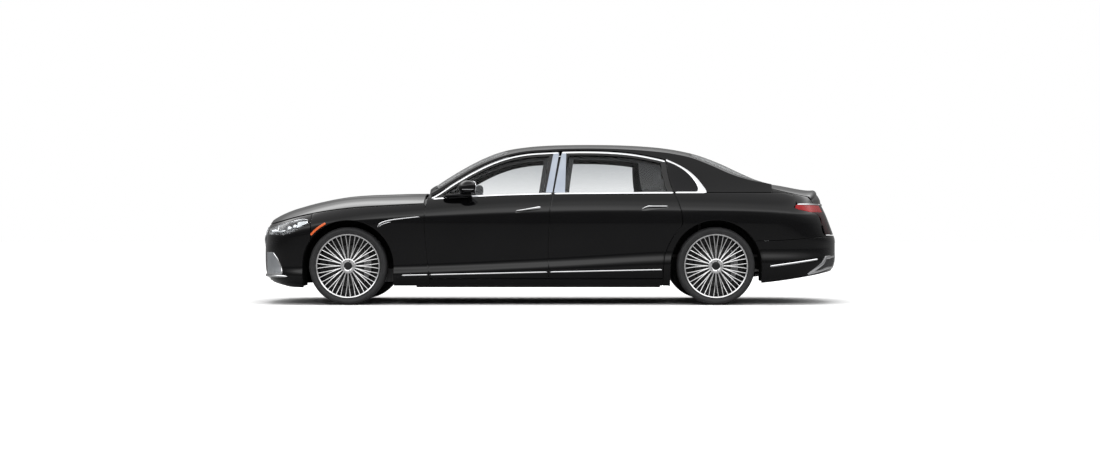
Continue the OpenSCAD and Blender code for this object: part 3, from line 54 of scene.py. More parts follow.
# %% Camera
camera = bpy.data.objects.new("camera", bpy.data.cameras.new("camera"))
FOCAL_PIXELS, PHOTO_PIXELS, SENSOR = 1950, 1100, 36
CAMERA_PLACE = (0.0046, 18.9, 0.738)
camera.location = CAMERA_PLACE
camera.rotation_euler = (np.pi / 2, 0, np.pi)
camera.data.lens = SENSOR * FOCAL_PIXELS / PHOTO_PIXELS
camera.data.sensor_width = SENSOR
camera.data.clip_end = 200
bpy.context.collection.objects.link(camera)
bpy.context.scene.camera = camera
bpy.context.scene.view_settings.view_transform = "Standard"
print("camera lens", round(camera.data.lens, 1), "mm")


# %% Node helpers
def put(tree, kind, **values):
    """Adds one node; values that name an input set it, the others set a property of the node."""
    node = tree.nodes.new(kind)
    for key, value in values.items():
        if key in node.inputs:
            node.inputs[key].default_value = value
        else:
            setattr(node, key, value)
    return node


def ramp(tree, stops):
    """Colour ramp with grey or coloured stops given as (place, colour)."""
    node = tree.nodes.new("ShaderNodeValToRGB")
    ends = node.color_ramp.elements
    while len(ends) < len(stops):
        ends.new(0.5)
    for end, (place, colour) in zip(ends, stops):
        end.position = place
        end.color = (*colour, 1) if isinstance(colour, tuple) else (colour, colour, colour, 1)
    return node


def coords(*parts):
    """Coordinates side by side, as the last axis of one array."""
    return np.stack(parts, -1)


def link(tree, *pairs):
    """Joins output and input sockets, given in pairs."""
    for a, b in pairs:
        tree.links.new(a, b)


# %% World and floor
world = bpy.data.worlds.new("studio")
bpy.context.scene.world = world
world.use_nodes = True
wt = world.node_tree
wt.nodes.clear()
w_out, w_back = put(wt, "ShaderNodeOutputWorld"), put(wt, "ShaderNodeBackground")
w_coord, w_split, w_path = (put(wt, "ShaderNodeTexCoord"), put(wt, "ShaderNodeSeparateXYZ"),
                            put(wt, "ShaderNodeLightPath"))
w_ramp = ramp(wt, [(0.0, 0.25), (0.5, 0.12), (0.57, 0.14), (0.68, 0.45), (0.82, 0.9), (1.0, 1.0)])
w_up = put(wt, "ShaderNodeMath", operation="MULTIPLY_ADD")
w_up.inputs[1].default_value, w_up.inputs[2].default_value = 0.5, 0.5
w_seen, w_fac = (put(wt, "ShaderNodeMath", operation="MAXIMUM"),
                 put(wt, "ShaderNodeMath", operation="MULTIPLY_ADD"))
w_fac.inputs[1].default_value = 0.1
w_mix = put(wt, "ShaderNodeMix", data_type="RGBA")
w_band = ramp(wt, [(0.64, 0.0), (0.70, 0.4), (0.77, 2.2), (0.85, 0.8), (0.94, 0.15)])
w_band.color_ramp.interpolation = "EASE"
w_shine, w_sum = (put(wt, "ShaderNodeMix", data_type="RGBA"),
                  put(wt, "ShaderNodeMix", data_type="RGBA", blend_type="ADD"))
w_shine.inputs["A"].default_value = (0, 0, 0, 1)
w_sum.inputs["Factor"].default_value = 1.0
w_mix.inputs["B"].default_value = (1, 1, 1, 1)
link(wt, (w_coord.outputs["Generated"], w_split.inputs[0]), (w_split.outputs["Z"], w_up.inputs[0]),
     (w_up.outputs[0], w_ramp.inputs[0]), (w_path.outputs["Is Camera Ray"], w_seen.inputs[0]),
     (w_path.outputs["Is Transmission Ray"], w_seen.inputs[1]),
     (w_path.outputs["Is Glossy Ray"], w_fac.inputs[0]), (w_seen.outputs[0], w_fac.inputs[2]),
     (w_fac.outputs[0], w_mix.inputs["Factor"]), (w_ramp.outputs[0], w_mix.inputs["A"]),
     (w_up.outputs[0], w_band.inputs[0]), (w_band.outputs[0], w_shine.inputs["B"]),
     (w_path.outputs["Is Glossy Ray"], w_shine.inputs["Factor"]),
     (w_mix.outputs["Result"], w_sum.inputs["A"]), (w_shine.outputs["Result"], w_sum.inputs["B"]),
     (w_sum.outputs["Result"], w_back.inputs[0]), (w_back.outputs[0], w_out.inputs[0]))

floor_mesh = bpy.data.meshes.new("floor")
floor_mesh.from_pydata([(-60, -60, 0), (60, -60, 0), (60, 60, 0), (-60, 60, 0)], [], [(0, 1, 2, 3)])
floor = bpy.data.objects.new("floor", floor_mesh)
bpy.context.collection.objects.link(floor)
floor_look = bpy.data.materials.new("pale_floor")
floor_look.use_nodes = True
ft = floor_look.node_tree
f_bsdf = ft.nodes["Principled BSDF"]
f_noise, f_ramp = put(ft, "ShaderNodeTexNoise", Scale=0.6), ramp(ft, [(0.3, 0.82), (0.7, 0.86)])
f_path, f_glow, f_gain = (put(ft, "ShaderNodeLightPath"), put(ft, "ShaderNodeMath", operation="MAXIMUM"),
                          put(ft, "ShaderNodeMath", operation="MULTIPLY"))
# Painted shade: no camera glow round the car, out to 2.15 m on its far side; it fades in over 1.6 m.
f_where, f_size, f_out_by = (put(ft, "ShaderNodeTexCoord"),
                             put(ft, "ShaderNodeVectorMath", operation="ABSOLUTE"),
                             put(ft, "ShaderNodeVectorMath", operation="SUBTRACT"))
f_out_by.inputs[1].default_value = (2.5, 1.5, 0)
f_shift = put(ft, "ShaderNodeVectorMath", operation="ADD")
f_shift.inputs[1].default_value = (0, 0.65, 0)
f_pos, f_far, f_fade = (put(ft, "ShaderNodeVectorMath", operation="MAXIMUM"),
                        put(ft, "ShaderNodeVectorMath", operation="LENGTH"),
                        put(ft, "ShaderNodeMapRange", interpolation_type="SMOOTHSTEP"))
f_fade.inputs["From Max"].default_value, f_fade.inputs["To Max"].default_value = 1.6, 0.6
# Painted reflection: to glossy rays the floor is much darker, so lower panels reflect painted shade.
f_dim, f_tone = put(ft, "ShaderNodeMath", operation="MULTIPLY"), put(ft, "ShaderNodeMix", data_type="RGBA")
f_dim.inputs[1].default_value = 0.72
f_tone.inputs["B"].default_value = (0.02, 0.02, 0.02, 1)
f_bsdf.inputs["Roughness"].default_value = 1.0
f_bsdf.inputs["Specular IOR Level"].default_value = 0.0
f_bsdf.inputs["Emission Color"].default_value = (1, 1, 1, 1)
link(ft, (f_where.outputs["Object"], f_noise.inputs["Vector"]), (f_noise.outputs[0], f_ramp.inputs[0]),
     (f_where.outputs["Object"], f_shift.inputs[0]), (f_shift.outputs[0], f_size.inputs[0]),
     (f_size.outputs[0], f_out_by.inputs[0]), (f_out_by.outputs[0], f_pos.inputs[0]),
     (f_pos.outputs[0], f_far.inputs[0]), (f_far.outputs["Value"], f_fade.inputs["Value"]),
     (f_fade.outputs["Result"], f_gain.inputs[1]), (f_path.outputs["Is Glossy Ray"], f_dim.inputs[0]),
     (f_dim.outputs[0], f_tone.inputs["Factor"]), (f_ramp.outputs[0], f_tone.inputs["A"]),
     (f_tone.outputs["Result"], f_bsdf.inputs["Base Color"]),
     (f_path.outputs["Is Camera Ray"], f_glow.inputs[0]),
     (f_path.outputs["Is Transmission Ray"], f_glow.inputs[1]), (f_glow.outputs[0], f_gain.inputs[0]),
     (f_gain.outputs[0], f_bsdf.inputs["Emission Strength"]))
floor_mesh.materials.append(floor_look)


def lamp(name, place, aim, size, watts):
    """A soft rectangular lamp at place, turned so that its light falls towards aim; gloss shows the room, not
    the lamp."""
    data = bpy.data.lights.new(name, "AREA")
    data.shape, data.size, data.size_y, data.energy = "RECTANGLE", size[0], size[1], watts
    obj = bpy.data.objects.new(name, data)
    obj.location = place
    away = np.array(place, float) - np.array(aim, float)
    tilt = np.arctan2(np.hypot(away[0], away[1]), away[2])
    obj.rotation_euler = (tilt, 0, np.arctan2(away[1], away[0]) + np.pi / 2)
    obj.visible_glossy = False
    bpy.context.collection.objects.link(obj)
    return obj


lamp("top_lamp", (0, 0.6, 6.5), (0, 0, 0), (9, 4), 520)
lamp("side_lamp", (0, 9, 5.5), (0, 0, 0.8), (14, 2.5), 360)
print("studio: world gradient, floor and two soft lamps")

# %% [markdown]
# ## Lines of the body
# A car body is a few long curves: the bonnet line, the belt under the windows, the roof line, the rail
# beside it. Each is a short table of places along the car (0 at the nose, 1 and 2 at the axles, 3 at the
# tail) and shares of the height, with a smooth cubic through them. Every panel below is cut from the
# surfaces that these lines span, so neighbours line up by themselves.

# %% Sizes and curves
LENGTH, WIDTH, HEIGHT, WHEELBASE, FRONT, REAR = 5.469, 1.921, 1.510, 3.396, 0.866, 1.207
HALF, SIDE, GAP = LENGTH / 2, WIDTH / 2, 0.010
AXLES = (HALF - FRONT, HALF - FRONT - WHEELBASE)
HUB, ARCH, WHEEL_Y = 0.360, 0.424, 0.813
DOOR_LOW, TURN_SHARE = 0.163 * HEIGHT, 0.72


def station(s):
    """Length position: straight steps between the nose (0), the axles (1, 2) and the tail (3)."""
    return np.interp(s, [0, 1, 2, 3], [HALF, AXLES[0], AXLES[1], -HALF])


BONNET_END, GLASS_END, LID_FRONT = station(1.204), station(2.436), station(2.449)


def curve(points):
    """Smooth function through points: cubic pieces whose slope at a point weighs the chords on both sides."""
    x, y = np.array(sorted(points), float).T
    h, d = np.diff(x), np.diff(y) / np.diff(x)
    m = np.r_[d[0], (d[:-1] * h[1:] + d[1:] * h[:-1]) / (h[1:] + h[:-1]), d[-1]]

    def at(q):
        q = np.clip(q, x[0], x[-1])
        i = np.clip(np.searchsorted(x, q, "right") - 1, 0, len(h) - 1)
        t = (q - x[i]) / h[i]
        return ((2 * t**3 - 3 * t**2 + 1) * y[i] + (t**3 - 2 * t**2 + t) * h[i] * m[i]
                + (3 * t**2 - 2 * t**3) * y[i + 1] + (t**3 - t**2) * h[i] * m[i + 1])
    return at


def line(shares, size=HEIGHT):
    """Curve along the car from (station, share of a size) pairs."""
    return curve([(station(s), v * size) for s, v in shares])


def cut(shares):
    """Shut line: length position as a function of height, from (share of the height, station) pairs."""
    return curve([(v * HEIGHT, station(s)) for v, s in shares])


bonnet_line = line([(0.052, 0.499), (0.075, 0.517), (0.14, 0.54), (0.28, 0.577), (0.49, 0.614), (0.71, 0.645),
                    (0.93, 0.667), (1.04, 0.678), (1.1, 0.683), (1.16, 0.687), (1.205, 0.688)])
bonnet_edge = line([(0.052, 0.494), (0.11, 0.499), (0.225, 0.512), (0.39, 0.536), (0.58, 0.559),
                    (0.79, 0.579), (1.005, 0.595), (1.11, 0.61), (1.22, 0.622)])
cabin_line = line([(1.19, 0.678), (1.206, 0.702), (1.262, 0.787), (1.318, 0.862), (1.374, 0.924),
                   (1.42, 0.96), (1.486, 0.985), (1.542, 0.995), (1.6, 0.999), (1.66, 1), (1.747, 0.997),
                   (1.803, 0.991), (1.86, 0.98), (1.915, 0.961), (1.96, 0.937), (2.077, 0.881),
                   (2.234, 0.821), (2.39, 0.764), (2.455, 0.748)])
deck_line = line([(2.44, 0.751), (2.627, 0.734), (2.77, 0.717), (2.832, 0.706)])
boot_edge = line([(2.44, 0.715), (2.55, 0.694), (2.68, 0.672), (2.832, 0.65)])
belt_z = line([(1.2, 0.643), (1.285, 0.656), (1.344, 0.664), (1.403, 0.671), (1.491, 0.677), (1.556, 0.68),
               (1.7, 0.683), (1.845, 0.685), (2.1, 0.686), (2.4, 0.686)])
shoulder = line([(0.052, 0.494), (0.225, 0.512), (0.58, 0.559), (1.005, 0.595), (1.15, 0.625), (1.285, 0.652),
                 (1.403, 0.67), (1.556, 0.68), (1.845, 0.685), (2.3, 0.688), (2.55, 0.682), (2.7, 0.668),
                 (2.9, 0.64)])
window_top = line([(1.2, 0.64), (1.226, 0.66), (1.292, 0.754), (1.341, 0.819), (1.39, 0.873), (1.439, 0.911),
                   (1.488, 0.932), (1.538, 0.94), (1.651, 0.947), (1.714, 0.943), (1.777, 0.93),
                   (1.824, 0.911), (1.866, 0.888), (1.904, 0.853), (1.935, 0.805), (1.961, 0.762),
                   (1.98, 0.71)])
rail_z = line([(1.2, 0.652), (1.226, 0.684), (1.292, 0.776), (1.341, 0.841), (1.39, 0.893), (1.439, 0.929),
               (1.488, 0.949), (1.538, 0.957), (1.651, 0.964), (1.714, 0.962), (1.777, 0.956), (1.824, 0.948),
               (1.889, 0.93), (1.938, 0.905), (1.991, 0.858), (2.124, 0.804), (2.273, 0.765), (2.377, 0.749),
               (2.455, 0.737)])
nose_tip = curve([(v * HEIGHT, HALF - s * FRONT) for v, s in (
    (0.56, 0.12), (0.51, 0.06), (0.494, 0.05), (0.45, 0.018), (0.39, 0.006), (0.3, 0), (0.25, 0), (0.2, 0.01),
    (0.165, 0.035), (0.13, 0.1), (0.1, 0.27))])
tail_tip = curve([(v * HEIGHT, s * REAR - HALF) for v,
                  s in ((0.712, 0.18), (0.69, 0.15), (0.649, 0.118), (0.624, 0.112), (0.549, 0.073),
                        (0.424, 0.013), (0.405, 0.004), (0.36, 0), (0.31, 0), (0.28, 0.001), (0.205, 0.03),
                        (0.15, 0.1), (0.1, 0.2))])
shoulder_inset = line([(0, 0.2), (0.5, 0.15), (1, 0.105), (1.2, 0.098), (1.9, 0.098), (2.4, 0.125),
                       (3, 0.16)], SIDE)
section = curve([(v * 0.755, s * SIDE) for v,
                 s in ((1, 0), (0.93, 0.003), (0.74, 0.017), (0.62, 0.032), (0.575, 0.0385), (0.555, 0.0395),
                       (0.54, 0.038), (0.42, 0.0155), (0.405, 0.0165), (0.33, 0.043), (0.25, 0.08),
                       (0.15, 0.12))])
front_cut = cut([(0.7, 1.218), (0.6, 1.21), (0.5, 1.208), (0.4, 1.21), (0.3, 1.214), (0.15, 1.222)])
middle_cut = cut([(0.96, 1.582), (0.8, 1.568), (0.683, 1.558), (0.6, 1.551), (0.45, 1.546), (0.15, 1.545)])
rear_cut = cut([(0.96, 1.866), (0.85, 1.869), (0.7, 1.884), (0.64, 1.896), (0.56, 1.906), (0.49, 1.907),
                (0.43, 1.887), (0.37, 1.872), (0.3, 1.861), (0.22, 1.857), (0.15, 1.856)])
print("body lines from", round(float(nose_tip(0.4)), 3), "to", round(float(tail_tip(0.5)), 3), "m")

# %% [markdown]
# ## Surfaces of the body
# The side is a height-wise section carried along the car. Above the waist it rolls in to the shoulder,
# below it pulls in to a hollow and comes out again, which gives the pale band low on the doors. Nose and
# tail are rounded in plan by a high power, so the side runs into the front in one sweep.

# %% Side, cabin and crown surfaces
catcher = line([(1.0, 0.232), (1.15, 0.242), (1.55, 0.284), (1.86, 0.326), (2.05, 0.34)])
upper_crease = line([(0.3, 0.46), (0.7, 0.5), (1.1, 0.527), (1.24, 0.541), (1.55, 0.568), (1.87, 0.576),
                     (2.3, 0.572), (2.8, 0.55)])


def section_y(x, z):
    """Half width of the plain section: above the waist the inset grows with a power of the height, below it
    follows the hollow section, whose height is stretched so that the hollow lies on the catcher line. A
    narrow tent along the upper crease gives that line its sharp light."""
    top = shoulder(x)
    waist = np.minimum(0.5 * HEIGHT, top - 0.12 * HEIGHT)
    up = np.clip((z - waist) / (top - waist), 0, None)
    hollow = np.clip(catcher(x), 0.2, waist - 0.05)
    low = np.where(z > hollow, 0.42 + (z - hollow) / (waist - hollow) * (0.755 - 0.42), 0.42 * z / hollow)
    tent = 0.0035 * np.exp(-np.abs(z - upper_crease(x)) / 0.035)
    return SIDE - np.where(z >= waist, shoulder_inset(x) * up**2.6, section(low)) - 0.0035 + tent


def end_share(x, z):
    """0 in the middle of the car, rising to 1 at the nose or the tail of that height."""
    a, b = station(1.17), station(1.82)
    n, t = np.minimum(HALF, nose_tip(z)), np.maximum(-HALF, tail_tip(z))
    return np.where(x > a, (x - a) / (n - a), np.where(x < b, (x - b) / (t - b), 0))


def side_y(x, z):
    """Section times the plan rounding: root of one minus the ninth power of the end share."""
    return section_y(x, z) * np.sqrt(np.clip(1 - np.clip(end_share(x, z), 0, 1)**9, 0, None))


def plan_x(y, z, front=True):
    """Length position where the rounded side has come in to y, found by halving."""
    y, z = np.broadcast_arrays(np.abs(y), z)
    wide = np.full(y.shape, station(1.17 if front else 1.82))
    tip = np.minimum(HALF, nose_tip(z)) if front else np.maximum(-HALF, tail_tip(z))
    for _ in range(26):
        mid = (wide + tip) / 2
        out = side_y(mid, z) > y
        wide, tip = np.where(out, mid, wide), np.where(out, tip, mid)
    return (wide + tip) / 2


def cabin_y(x, z):
    """Glass side: leans in by 0.6 per unit of height above the belt, with a slight belly."""
    b = belt_z(x)
    t = np.clip((z - b) / (HEIGHT - b), 0, 1)
    return side_y(x, b) - 0.008 * SIDE - 0.6 * (z - b) + 0.048 * SIDE * t * (1 - t)


def body_y(x, z):
    """The whole side: cabin above the belt, body below."""
    return np.where(z > belt_z(x), cabin_y(x, z), side_y(x, z))


def rail_y(x):
    """Half width at the roof rail."""
    return cabin_y(x, rail_z(x))


def crown(centre, edge, share, power):
    """Height across the car: the centre falls to the edge with a power of the share of the half width."""
    return centre - (centre - edge) * np.abs(share)**power


def roof_z(x, y):
    """Roof, screen and rear window as one crowned surface."""
    return crown(cabin_line(x), rail_z(x), y / rail_y(x), 2.3)


def end_path(f, z, end_x, front=True):
    """Path round the nose or tail at one height: f runs 0 to 1 from the centre, across the front first and
    then back along the side to end_x; the sign of f gives the side of the car."""
    a = np.abs(f)
    f, z, end_x, a = np.broadcast_arrays(f, z, end_x, a)
    turn = 0.8 * np.minimum(section_y(AXLES[0 if front else 1], z), section_y(HALF if front else -HALF, z))
    across = turn * np.minimum(a / TURN_SHARE, 1)
    x_turn = plan_x(across, z, front)
    x = np.where(a < TURN_SHARE, x_turn, x_turn + (end_x - x_turn) * (a - TURN_SHARE) / (1 - TURN_SHARE))
    y = np.where(a < TURN_SHARE, across, side_y(x, z))
    return coords(x, np.where(f < 0, -y, y), z)


print("half width at the front door", round(float(side_y(0.6, 0.7)), 3), "m")

# %% [markdown]
# ## From grids to meshes
# Each shape is a grid of points worked out as whole arrays. A panel becomes a closed shell: an outer
# skin, an inner skin, and an edge that rolls over in a small radius, which is what makes a shut line
# catch the light. Trim is a rounded profile carried along a path.


# %% Mesh helpers
def grid(points, wrap=False):
    """Open surface: the quads between neighbouring points of the grid; wrap joins the last row to the
    first."""
    n, m = points.shape[:2]
    i = np.arange(n * m).reshape(n, m)
    if wrap:
        i = np.vstack([i, i[:1]])
    faces = coords(i[:-1, :-1], i[1:, :-1], i[1:, 1:], i[:-1, 1:]).reshape(-1, 4)
    size = (np.linalg.norm(np.diff(points, axis=0), axis=-1).mean(1).sum(),
            np.linalg.norm(np.diff(points, axis=1), axis=-1).mean(0).sum())
    uv = np.stack(np.meshgrid(np.linspace(0, size[0], n), np.linspace(0, size[1], m), indexing="ij"), -1)
    return points.reshape(-1, 3), faces, uv.reshape(-1, 2)


def outward(part):
    """Turns a closed part so that its faces point out: the volume by the divergence rule must be positive."""
    v, f, uv = part
    a, b, c, d = (v[f[:, k]] for k in range(4))
    volume = (np.cross(b - a, c - a) * a).sum() + (np.cross(c - a, d - a) * a).sum()
    return (v, f[:, ::-1] if volume < 0 else f, uv)


def normals(points):
    """Unit normals of a grid from its row and column differences."""
    du, dv = np.gradient(points, axis=0), np.gradient(points, axis=1)
    n = np.cross(du, dv)
    return n / np.maximum(np.linalg.norm(n, axis=-1, keepdims=True), 1e-12)


def shell(points, thick, hole=None, roll=0.002, level=False):
    """Closed panel on a grid: the outer skin is the grid, the inner one lies thick below it, and along every
    free edge the skin turns through a quarter circle of radius roll before it goes straight to the inner
    skin. hole marks cells that are left open; level sets the wall straight along Y instead of along the
    normal."""
    n, m = points.shape[:2]
    nor = normals(points)
    centre = points.mean((0, 1)) * (0.72, 0, 0) + (0, 0, 0.55)
    if (nor * (points - centre)).sum() < 0:
        nor = -nor
    if level:
        nor = np.zeros_like(points) + (0, np.sign(points[..., 1].mean()), 0)
    solid = np.ones((n + 1, m + 1), bool)
    solid[[0, -1]] = False
    solid[:, [0, -1]] = False
    if hole is not None:
        solid[1:-1, 1:-1] &= ~hole
    i = np.arange(n * m).reshape(n, m)
    corner = coords(i[:-1, :-1], i[1:, :-1], i[1:, 1:], i[:-1, 1:])
    cells = corner[solid[1:-1, 1:-1]]
    edges = [corner[..., [k, (k + 1) % 4]][solid[1:-1, 1:-1] & ~out] for k, out in enumerate(
        (solid[1:-1, :-2], solid[2:, 1:-1], solid[1:-1, 2:], solid[:-2, 1:-1]))]
    edges = np.concatenate(edges)
    v, w = points.reshape(-1, 3), nor.reshape(-1, 3)
    side = np.zeros_like(v)
    run = v[edges[:, 1]] - v[edges[:, 0]]
    grid_n = normals(points).reshape(-1, 3)
    away = np.cross(run, (grid_n[edges[:, 0]] + grid_n[edges[:, 1]]) / 2)
    away /= np.maximum(np.linalg.norm(away, axis=1, keepdims=True), 1e-12)
    np.add.at(side, edges[:, 0], away)
    np.add.at(side, edges[:, 1], away)
    rim = np.unique(edges)
    place = np.full(len(v), -1)
    place[rim] = np.arange(len(rim))
    t = side[rim] / np.maximum(np.linalg.norm(side[rim], axis=1, keepdims=True), 1e-12)
    turns = np.radians((30, 60, 90))
    rings = [v[rim] + roll * np.sin(a) * t - roll * (1 - np.cos(a)) * w[rim] for a in turns]
    rings.append(v[rim] + roll * t - (thick - roll) * w[rim])
    verts = np.concatenate([v, v - thick * w] + rings)
    count = len(v)
    levels = [edges] + [2 * count + k * len(rim) + place[edges] for k in range(len(rings))] + [edges + count]
    walls = [coords(a[:, 1], a[:, 0], b[:, 0], b[:, 1]) for a, b in zip(levels[:-1], levels[1:])]
    faces = np.concatenate([cells, cells[:, ::-1] + count] + walls)
    uv = grid(points)[2]
    uv = np.concatenate([uv, uv] + [uv[rim]] * len(rings))
    used = np.unique(faces)
    back = np.full(len(verts), -1)
    back[used] = np.arange(len(used))
    return outward((verts[used], back[faces], uv[used]))


def strip(path, normal, width, height, sink=0.3, ends=True, sides=10, tip=None):
    """Trim: a flattened oval profile (half width along the cross direction, height along the normal, part of
    it sunk) carried along a path. Near the ends the profile shrinks along a quarter circle, so they are
    round."""
    path, n = np.asarray(path, float), len(path)
    run = np.gradient(path, axis=0)
    run /= np.linalg.norm(run, axis=1, keepdims=True)
    nor = np.broadcast_to(np.asarray(normal, float), path.shape)
    cross = np.cross(run, nor)
    cross /= np.linalg.norm(cross, axis=1, keepdims=True)
    nor = np.cross(cross, run)
    a = np.linspace(0, 2 * np.pi, sides, endpoint=False)
    c, s = np.cos(a), np.sin(a)
    flat = np.sign(c) * np.abs(c)**0.6, np.sign(s) * np.abs(s)**0.6
    dist = np.r_[0, np.cumsum(np.linalg.norm(np.diff(path, axis=0), axis=1))]
    reach = (np.mean(width) if tip is None else tip)
    near = np.clip(np.minimum(dist, dist[-1] - dist) / reach, 0, 1) if ends else np.ones(n)
    scale = np.sqrt(np.clip(1 - (1 - near)**2, 0.0004, 1))
    wide, high = np.broadcast_to(width, n) * scale / 2, np.broadcast_to(height, n) * np.maximum(scale, 0.2)
    points = (path[:, None] + cross[:, None] * (wide[:, None] * flat[0])[..., None]
              + nor[:, None] * (high[:, None] * (0.5 - sink + 0.5 * flat[1]))[..., None])
    v, f, uv = grid(np.concatenate([points, points[:, :1]], 1))
    ring = sides + 1
    caps = []
    for row in (0, n - 1):
        k = row * ring + np.arange(sides // 2)
        other = row * ring + sides - 1 - np.arange(sides // 2)
        quad = coords(k[:-1], k[1:], other[1:], other[:-1])
        caps.append(quad if row else quad[:, ::-1])
    weld = np.arange(len(v))
    weld[ring - 1::ring] = weld[::ring]
    return outward((v, np.concatenate([weld[f]] + caps), uv))


def spin(profile, count):
    """Turned piece about the Y axis: each (radius, y) point of a closed profile runs round the full
    circle."""
    a = np.linspace(0, 2 * np.pi, count, endpoint=False)
    r, y = np.asarray(profile, float).T
    points = coords(r[None] * np.cos(a)[:, None], np.broadcast_to(y, (count, len(y))),
                    r[None] * np.sin(a)[:, None])
    points = np.concatenate([points, points[:, :1]], 1)
    v, f, uv = grid(points, wrap=True)
    m = points.shape[1]
    weld = np.arange(len(v))
    weld[m - 1::m] = weld[::m]
    return outward((v, weld[f], uv))


def mirror(part):
    """The same piece on the other side of the car: y changes sign and the faces turn round."""
    v, f, uv = part
    return v * (1, -1, 1), f[:, ::-1], uv


def moved(part, place):
    """The piece shifted to a place."""
    return part[0] + np.asarray(place, float), part[1], part[2]


def pair(*parts):
    """The pieces and their mirror images."""
    return [*parts, *(mirror(p) for p in parts)]


def show(name, parts, look, body="car", stands_for=(), sharp=38):
    """Makes one object of several parts, with smooth faces and edges sharper than the angle kept, and lets it
    ride."""
    parts = parts if isinstance(parts, list) else [parts]
    starts = np.cumsum([0] + [len(p[0]) for p in parts])
    v = np.concatenate([p[0] for p in parts])
    f = np.concatenate([p[1] + s for p, s in zip(parts, starts)])
    uv = np.concatenate([p[2] for p in parts])
    mesh = bpy.data.meshes.new(name)
    mesh.from_pydata(v.tolist(), [], f.tolist())
    mesh.validate()
    loops = np.empty(len(mesh.loops), int)
    mesh.loops.foreach_get("vertex_index", loops)
    mesh.uv_layers.new(name="along").data.foreach_set("uv", uv[loops].ravel())
    mesh.polygons.foreach_set("use_smooth", np.ones(len(mesh.polygons), bool))
    mesh.set_sharp_from_angle(angle=np.radians(sharp))
    mesh.materials.append(look)
    obj = bpy.data.objects.new(name, mesh)
    bpy.context.collection.objects.link(obj)
    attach(obj, body)
    if stands_for:
        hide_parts(*stands_for)
    made[name] = len(f)
    return obj


made = {}
SIDES = (("left", lambda p: p), ("right", mirror))
print("helpers ready")

# %% [markdown]
# ## Finishes
# Real finishes are never one flat colour. Paint has a faint mottle and orange peel, leather has pores and
# creases, brushed metal has fine lines. These effects are small node groups: each reads a position and
# gives back a mask or a height, and every finish uses them with its own scale.


# %% Shared effects
def group(name, inputs, outputs):
    """A shader node group with named sockets."""
    tree = bpy.data.node_groups.new(name, "ShaderNodeTree")
    for label, kind, value in inputs:
        socket = tree.interface.new_socket(label, in_out="INPUT", socket_type=kind)
        if value is not None:
            socket.default_value = value
    for label, kind in outputs:
        tree.interface.new_socket(label, in_out="OUTPUT", socket_type=kind)
    return tree, tree.nodes.new("NodeGroupInput"), tree.nodes.new("NodeGroupOutput")


def mottle_group():
    """Slow cloudy mask plus a fine speckle: two noises, one forty times finer than the other, weighed
    together."""
    t, i, o = group("mottle", [("Vector", "NodeSocketVector", None), ("Scale", "NodeSocketFloat", 6.0)],
                    [("Mask", "NodeSocketFloat")])
    big, small = put(t, "ShaderNodeTexNoise", Detail=3.0), put(t, "ShaderNodeTexNoise", Detail=1.0)
    finer, blend = (put(t, "ShaderNodeMath", operation="MULTIPLY"),
                    put(t, "ShaderNodeMix", data_type="FLOAT", Factor=0.3))
    finer.inputs[1].default_value = 40
    link(t, (i.outputs["Vector"], big.inputs["Vector"]), (i.outputs["Vector"], small.inputs["Vector"]),
         (i.outputs["Scale"], big.inputs["Scale"]), (i.outputs["Scale"], finer.inputs[0]),
         (finer.outputs[0], small.inputs["Scale"]), (big.outputs[0], blend.inputs["A"]),
         (small.outputs[0], blend.inputs["B"]), (blend.outputs["Result"], o.inputs["Mask"]))
    return t


def hide_group():
    """Leather: cell borders of a fine Voronoi pattern give the pores, a noise bends them into creases."""
    t, i, o = group("hide_grain", [("Vector", "NodeSocketVector", None), ("Scale", "NodeSocketFloat", 400.0)],
                    [("Height", "NodeSocketFloat")])
    warp, cells = (put(t, "ShaderNodeTexNoise", Scale=60.0),
                   put(t, "ShaderNodeTexVoronoi", feature="DISTANCE_TO_EDGE"))
    shift, add = (put(t, "ShaderNodeVectorMath", operation="SCALE", Scale=0.004),
                  put(t, "ShaderNodeVectorMath", operation="ADD"))
    curve_ = ramp(t, [(0.0, 0.0), (0.12, 0.8), (0.5, 1.0)])
    link(t, (i.outputs["Vector"], warp.inputs["Vector"]), (warp.outputs["Color"], shift.inputs[0]),
         (i.outputs["Vector"], add.inputs[0]), (shift.outputs[0], add.inputs[1]),
         (add.outputs[0], cells.inputs["Vector"]), (i.outputs["Scale"], cells.inputs["Scale"]),
         (cells.outputs["Distance"], curve_.inputs[0]), (curve_.outputs[0], o.inputs["Height"]))
    return t


def brushed_group():
    """Brushed metal: a noise stretched a hundredfold along the first axis of the coordinates."""
    t, i, o = group("brushed_lines",
                    [("Vector", "NodeSocketVector", None), ("Scale", "NodeSocketFloat", 900.0)],
                    [("Height", "NodeSocketFloat")])
    squeeze, lines = (put(t, "ShaderNodeVectorMath", operation="MULTIPLY"),
                      put(t, "ShaderNodeTexNoise", Detail=2.0))
    squeeze.inputs[1].default_value = (0.01, 1, 1)
    link(t, (i.outputs["Vector"], squeeze.inputs[0]), (squeeze.outputs[0], lines.inputs["Vector"]),
         (i.outputs["Scale"], lines.inputs["Scale"]), (lines.outputs[0], o.inputs["Height"]))
    return t


def grain_group():
    """Moulded plastic, casting skin or felt: one even noise of medium detail."""
    t, i, o = group("even_grain", [("Vector", "NodeSocketVector", None), ("Scale", "NodeSocketFloat", 500.0)],
                    [("Height", "NodeSocketFloat")])
    dots = put(t, "ShaderNodeTexNoise", Detail=4.0, Roughness=0.6)
    link(t, (i.outputs["Vector"], dots.inputs["Vector"]), (i.outputs["Scale"], dots.inputs["Scale"]),
         (dots.outputs[0], o.inputs["Height"]))
    return t


MOTTLE, HIDE, BRUSHED, GRAIN = mottle_group(), hide_group(), brushed_group(), grain_group()
print("effects:", [g.name for g in (MOTTLE, HIDE, BRUSHED, GRAIN)])


